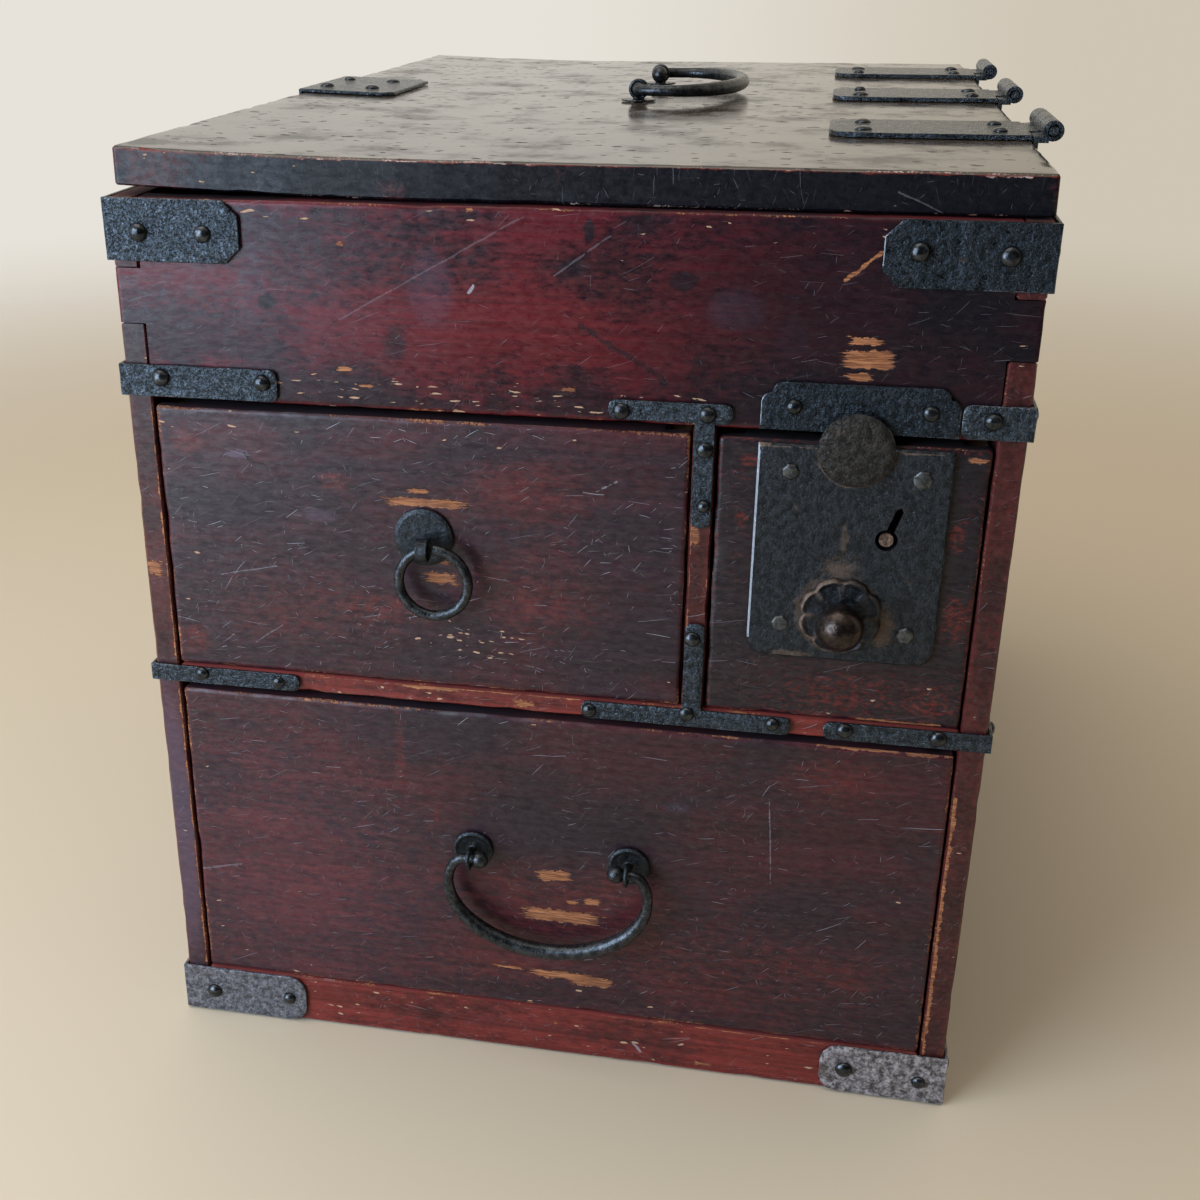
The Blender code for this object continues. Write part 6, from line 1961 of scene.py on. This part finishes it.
@dataclass
class LockDrawer(Drawer):
    """The upper right drawer with its lock, sliding bolt, rosette and knob."""

    label: ClassVar[str] = "lock_drawer"
    finish: ClassVar[Lacquer] = SPECKLED_FRONT
    petals: int = 8
    rosette_radius: float = 11.0 * MM
    rosette_height: float = 1.6 * MM
    knob_radius: float = 6.4 * MM
    knob_rise: float = 10.2 * MM
    knob_neck: float = 2.5 * MM
    shank: float = 1.4 * MM

    def marks(self) -> tuple:
        """Return the marks of wear on the front."""
        return (
            Mark(Wear.RED, (109.0, 161.0), (3.4, 6.0), ragged=0.6, soft=0.5),
            Mark(Wear.RED, (80.0, 138.0), (34.0, 9.0), ragged=0.5, soft=0.8, strength=0.3),
            Mark(Wear.RED, (50.0, 176.0), (4.0, 30.0), ragged=0.5, soft=0.8, strength=0.12),
            Mark(Wear.RED, (81.0, 136.0), (18.0, 6.0), ragged=0.6, soft=0.6, strength=0.55),
            Mark(Wear.RED, (104.0, 135.0), (6.0, 4.5), ragged=0.6, soft=0.5, strength=0.9),
            Mark(Wear.RED, (52.2, 201.4), (2.2, 1.6), soft=0.5),
            Mark(Wear.RED, (51.0, 185.4), (1.6, 2.2), soft=0.5),
            Mark(Wear.RED, (106.5, 184.0), (2.2, 4.0), ragged=0.6, soft=0.5),
            Mark(Wear.WORN, (86.0, 128.6), (0.45, 0.0), to=(108.0, 128.6), ragged=0.6),
            Mark(Wear.BARE, (109.6, 204.6), (2.4, 0.8), ragged=0.4),
        )

    def plate_marks(self, x: float, z: float) -> tuple:
        """Return the dust and rust on the plate round a rosette at x and z in millimetres, and a painted
        shadow to its right.
        """
        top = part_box("lock_plate")[1].z / MM - 0.3
        return (
            Mark(Wear.RUST, (x - 25.0, top), (0.7, 0.0), to=(x + 22.0, top), ragged=0.5, strength=0.45),
            Mark(Wear.RUST, (x - 0.8, z + 12.8), (3.6, 3.0), ragged=0.7, soft=0.7, strength=0.4),
            Mark(Wear.RUST, (x - 0.9, z + 0.3), (11.4, 11.4), ragged=0.12, soft=0.06, strength=0.25),
            # Painted shadow: a soft brown spot to the right of the rosette, where it casts its shade.
            Mark(Wear.RUST, (x + 11.0, z - 3.0), (2.6, 5.0), ragged=0.5, soft=0.6, strength=0.35),
            Mark(Wear.RUST, (x + 0.4, z + 45.7), (9.8, 9.8), ragged=0.05, soft=0.05, strength=0.5),
            Mark(Wear.RUST, (x - 12.5, z - 12.6), (5.0, 1.0), ragged=0.7, soft=0.4, strength=0.3),
            Mark(Wear.RUST, (x - 0.6, z + 21.5), (0.9, 3.6), ragged=0.6, soft=0.4, strength=0.25),
        )

    def lock(self) -> None:
        """Forge the plate and the bolt, and finish the back plate with its key post."""
        low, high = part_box("knob_rosette")
        x, z = (low.x + high.x) / 2 / MM, (low.z + high.z) / 2 / MM
        piece = self.forge.make("lock_plate", dent=0.5, cell=0.9, rim_bevel=1.25 * MM)
        material = LOCK_IRON.material("lock_plate_iron", "lock_plate", self.plate_marks(x, z))
        settle(piece, "lock_drawer", "worn_iron", material, "lock_plate")
        piece = self.forge.make("lock_bolt", dent=0.55, cell=0.75)
        settle(piece, "lock_bolt", "worn_iron", DISC_IRON.material("lock_bolt_iron"), "lock_bolt")
        keep("lock_back_plate", KEY_IRON.material("key_post_iron"))
        bag = NailBag("lock_nails", "lock_drawer", Head.FLAT, PALE_NAIL, "worn_iron", 5)
        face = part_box("lock_plate")[0].y
        spots = ((63.1, 199.6), (96.5, 199.2), (63.1, 156.5), (96.2, 155.5))
        bag.drive(FORWARD, *((across * MM, face, up * MM) for across, up in spots))
        bag.build()

    def turn(self, profile: list, steps: int) -> Shell:
        """Return a shape turned about Z from its half section of (radius, height) points."""
        shell = bmesh.new()
        verts = [shell.verts.new((radius, 0.0, height)) for radius, height in profile]
        edges = [shell.edges.new(pair) for pair in zip(verts, verts[1:])]
        bmesh.ops.spin(
            shell,
            geom=verts + edges,
            cent=ORIGIN,
            axis=UPWARD,
            angle=2 * math.pi,
            steps=steps,
            use_merge=True,
        )
        bmesh.ops.remove_doubles(shell, verts=shell.verts, dist=MERGE_GAP)
        bmesh.ops.recalc_face_normals(shell, faces=shell.faces)
        return shell

    def rosette(self) -> None:
        """Make the rosette: dished petals with raised rims, whose dust is painted stronger on the left side
        that the lamp lights.
        """
        low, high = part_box("knob_rosette")
        centre = Vector(((low.x + high.x) / 2, high.y, (low.z + high.z) / 2))
        bore = self.shank + 0.3 * MM
        radius = self.rosette_radius
        rings = [bore + (radius - bore) * step / 22 for step in range(23)]
        foot = [(radius, 0.0), (bore, 0.0), (bore, self.rosette_height)]
        profile = [(ring, self.rosette_height) for ring in rings] + foot
        shell = self.turn(profile, self.petals * 14)
        settled = shell.verts.layers.float.new("settled")
        for vert in shell.verts:
            reach = math.hypot(vert.co.x, vert.co.y) / radius
            angle = math.atan2(vert.co.y, vert.co.x)
            seam = abs(math.cos(angle * self.petals / 2))
            outward = max(0.0, reach - 0.35) / 0.65
            shrink = 1.0 - 0.085 * seam**6 * outward
            vert.co.x *= shrink
            vert.co.y *= shrink
            if vert.co.z > 0.0:
                rim = max(math.exp(-(((reach - 0.93) / 0.07) ** 2)), seam**14 * min(1.0, outward * 2.0))
                groove = 0.5 * seam**40 * outward
                edge = max(0.0, (reach - 0.95) / 0.05)
                vert.co.z *= 0.62 + 0.34 * rim - groove * 0.7 - 0.35 * edge
                # Painted light: the dust on the rims fades towards the right, the shaded side.
                left = 0.25 + 0.75 * max(0.0, min(1.0, 0.5 - vert.co.x / radius))
                dust = max(0.75 * math.exp(-(((reach - 0.97) / 0.05) ** 2)), 0.6 * seam**24 * outward)
                vert[settled] = dust * left
        shell.transform(Matrix.Translation(centre) @ Matrix.Rotation(math.pi / 2, 4, "X"))
        material = LOCK_IRON.material("knob_rosette_iron", rub="settled")
        piece = make_piece(shell, "forged_knob_rosette", 50.0)
        settle(piece, "lock_drawer", "black_iron", material, "knob_rosette")

    def knob(self) -> None:
        """Turn the knob with its neck and shank."""
        low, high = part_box("drawer_knob")
        centre = Vector(((low.x + high.x) / 2, FRONT_FACE, (low.z + high.z) / 2))
        back = FRONT_FACE - high.y
        neck_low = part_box("knob_rosette")[0].y
        profile = []
        for step in range(25):
            angle = math.pi / 2 - (math.pi / 2 + 1.05) * step / 24
            height = self.knob_rise + self.knob_radius * math.sin(angle)
            profile.append((self.knob_radius * math.cos(angle) if step else 0.0, height))
        base = FRONT_FACE - neck_low + 0.3 * MM
        profile += [(self.knob_neck, base), (self.shank, base), (self.shank, back), (0.0, back)]
        shell = self.turn(profile, 48)
        shell.transform(Matrix.Translation(centre) @ Matrix.Rotation(math.pi / 2, 4, "X"))
        self.forge.hammer(shell, 0.04 * MM, 2.0)
        piece = make_piece(shell, "forged_drawer_knob", 50.0)
        settle(piece, "lock_drawer", "knob_iron", KNOB_IRON.material("drawer_knob_iron"), "drawer_knob")

    def build(self) -> None:
        """Make the drawer, its lock and its knob."""
        self.box()
        self.lock()
        self.rosette()
        self.knob()


@dataclass
class Studio:
    """The floor, the lights, the sky round them and the camera at the photograph's angle."""

    floor_colour: Colour = (0.64, 0.53, 0.39)
    cloth_colour: Colour = (0.05, 0.048, 0.047)
    cloth_place: float = -0.88
    cloth_span: Spot = (-0.25, 1.5)
    cloth_height: float = 0.9
    backdrop: Colour = (0.80, 0.765, 0.70)
    shaded_backdrop: Colour = (0.62, 0.56, 0.46)
    picture: int = 1200
    focal_pixels: float = 1527.148
    centre_pixel: Spot = (508.892, 608.892)
    eye: Triple = (0.067335, -0.568631, 0.325728)
    yaw: float = 0.203
    pitch: float = 0.411
    roll: float = -0.005

    def camera(self) -> None:
        """Place the camera."""
        forward = Vector(
            (
                -math.sin(self.yaw) * math.cos(self.pitch),
                math.cos(self.yaw) * math.cos(self.pitch),
                -math.sin(self.pitch),
            )
        )
        level = Vector((math.cos(self.yaw), math.sin(self.yaw), 0.0))
        upright = level.cross(forward)
        right = level * math.cos(self.roll) + upright * math.sin(self.roll)
        up = upright * math.cos(self.roll) - level * math.sin(self.roll)
        lens = bpy.data.cameras.new("camera")
        lens.sensor_fit = "HORIZONTAL"
        lens.sensor_width = 36.0
        lens.lens = self.focal_pixels / self.picture * lens.sensor_width
        lens.shift_x = (self.picture / 2 - self.centre_pixel[0]) / self.picture
        lens.shift_y = (self.centre_pixel[1] - self.picture / 2) / self.picture
        lens.clip_start = 0.01
        camera = bpy.data.objects.new("camera", lens)
        turn = Matrix((right, up, -forward)).transposed().to_4x4()
        camera.matrix_world = Matrix.Translation(Vector(self.eye)) @ turn
        show(camera)
        bpy.context.scene.camera = camera

    def floor(self) -> None:
        """Lay a pale floor that fades into the backdrop."""
        mesh = bpy.data.meshes.new("floor")
        shell = bmesh.new()
        bmesh.ops.create_grid(shell, x_segments=2, y_segments=2, size=4.0)
        bmesh.ops.translate(shell, vec=(0.0, 0.0, -0.0003), verts=shell.verts)
        shell.to_mesh(mesh)
        shell.free()
        floor = bpy.data.objects.new("floor", mesh)
        show(floor)
        surface = Surface("floor_paint")
        w = surface.w
        surface.shader.inputs["Base Color"].default_value = (*self.floor_colour, 1.0)
        surface.shader.inputs["Roughness"].default_value = 0.75
        surface.shader.inputs["Specular IOR Level"].default_value = 0.2
        far = w.ramp(w.aim("LENGTH", surface.place), 480.0, 1500.0)
        clear = w.add("ShaderNodeBsdfTransparent").outputs[0]
        mixed = w.add("ShaderNodeMixShader", {0: far, 1: surface.shader.outputs[0], 2: clear}).outputs[0]
        output = surface.material.node_tree.nodes["Material Output"]
        w.plug(output.inputs["Surface"], mixed)
        mesh.materials.append(surface.material)

    def cloth(self) -> None:
        """Hang a dark cloth behind the camera, out of its sight, for the right of the front to mirror."""
        start, end = self.cloth_span
        verts, faces = [], []
        for step in range(13):
            share = step / 12
            across = start + (end - start) * share
            along = self.cloth_place + 0.6 * share * share
            verts += [(across, along, 0.001), (across, along, self.cloth_height)]
            if step:
                faces.append((2 * step - 2, 2 * step, 2 * step + 1, 2 * step - 1))
        mesh = bpy.data.meshes.new("dark_cloth")
        mesh.from_pydata(verts, [], faces)
        cloth = bpy.data.objects.new("dark_cloth", mesh)
        show(cloth)
        surface = Surface("dark_cloth")
        surface.shader.inputs["Base Color"].default_value = (*self.cloth_colour, 1.0)
        surface.shader.inputs["Roughness"].default_value = 0.9
        mesh.materials.append(surface.material)
        cloth.visible_camera = False

    def sky(self) -> None:
        """Surround the box with soft light, brighter behind and to the left, darker at the front right."""
        world = bpy.data.worlds.new("studio")
        bpy.context.scene.world = world
        world.use_nodes = True
        w = Wiring(world.node_tree)
        way = w.add("ShaderNodeTexCoord").outputs["Generated"]
        bright = w.ramp(w.aim("DOT_PRODUCT", way, (-0.42, 0.86, 0.28)), -0.75, 0.55)
        room = w.blend(bright, (0.055, 0.06, 0.07), (0.76, 0.73, 0.67))
        rays = w.add("ShaderNodeLightPath").outputs
        seen = w.most(rays["Is Camera Ray"], rays["Is Glossy Ray"], rays["Is Transmission Ray"])
        shade = w.ramp(w.parts(way)[0], -0.2, 0.15)
        wall = w.blend(shade, self.backdrop, self.shaded_backdrop)
        ground = world.node_tree.nodes["Background"]
        w.plug(ground.inputs["Color"], w.blend(seen, room, wall))
        ground.inputs["Strength"].default_value = 1.0

    def lamp(self, name: str, place: Triple, size: float, power: float, colour: Colour) -> None:
        """Add a soft square lamp that looks at the box.

        Args:
            name: The lamp's name.
            place: Where it stands.
            size: The length of its sides.
            power: Its power in watts.
            colour: The colour of its light.
        """
        light = bpy.data.lights.new(name, "AREA")
        light.size = size
        light.energy = power
        light.color = colour
        lamp = bpy.data.objects.new(name, light)
        target = Vector((0.0, -0.05, 0.13))
        lamp.location = place
        lamp.rotation_euler = (target - Vector(place)).to_track_quat("-Z", "Y").to_euler()
        lamp.visible_camera = False
        show(lamp)

    def build(self) -> None:
        """Set up the studio."""
        self.camera()
        self.floor()
        self.cloth()
        self.sky()
        self.lamp("window_light", (-0.57, -0.73, 0.33), 0.6, 10.0, (0.62, 0.79, 1.0))
        self.lamp("ceiling_light", (-0.40, -0.30, 1.6), 1.2, 8.5, (1.0, 0.95, 0.87))
        bpy.context.scene.view_settings.view_transform = "Standard"


def main() -> None:
    """Build the studio and dress every part of the box."""
    logging.basicConfig(level=logging.INFO, format="%(name)s: %(message)s")
    shop = BoardShop()
    forge = Forge()
    parts = (
        Studio(),
        CaseBoards(shop),
        CaseIrons(forge),
        Lid(shop, forge),
        RingDrawer(shop, forge),
        LockDrawer(shop, forge),
        LowerDrawer(shop, forge),
    )
    for part in parts:
        part.build()
        LOG.info("%s done", type(part).__name__)


if __name__ == "__main__":
    main()
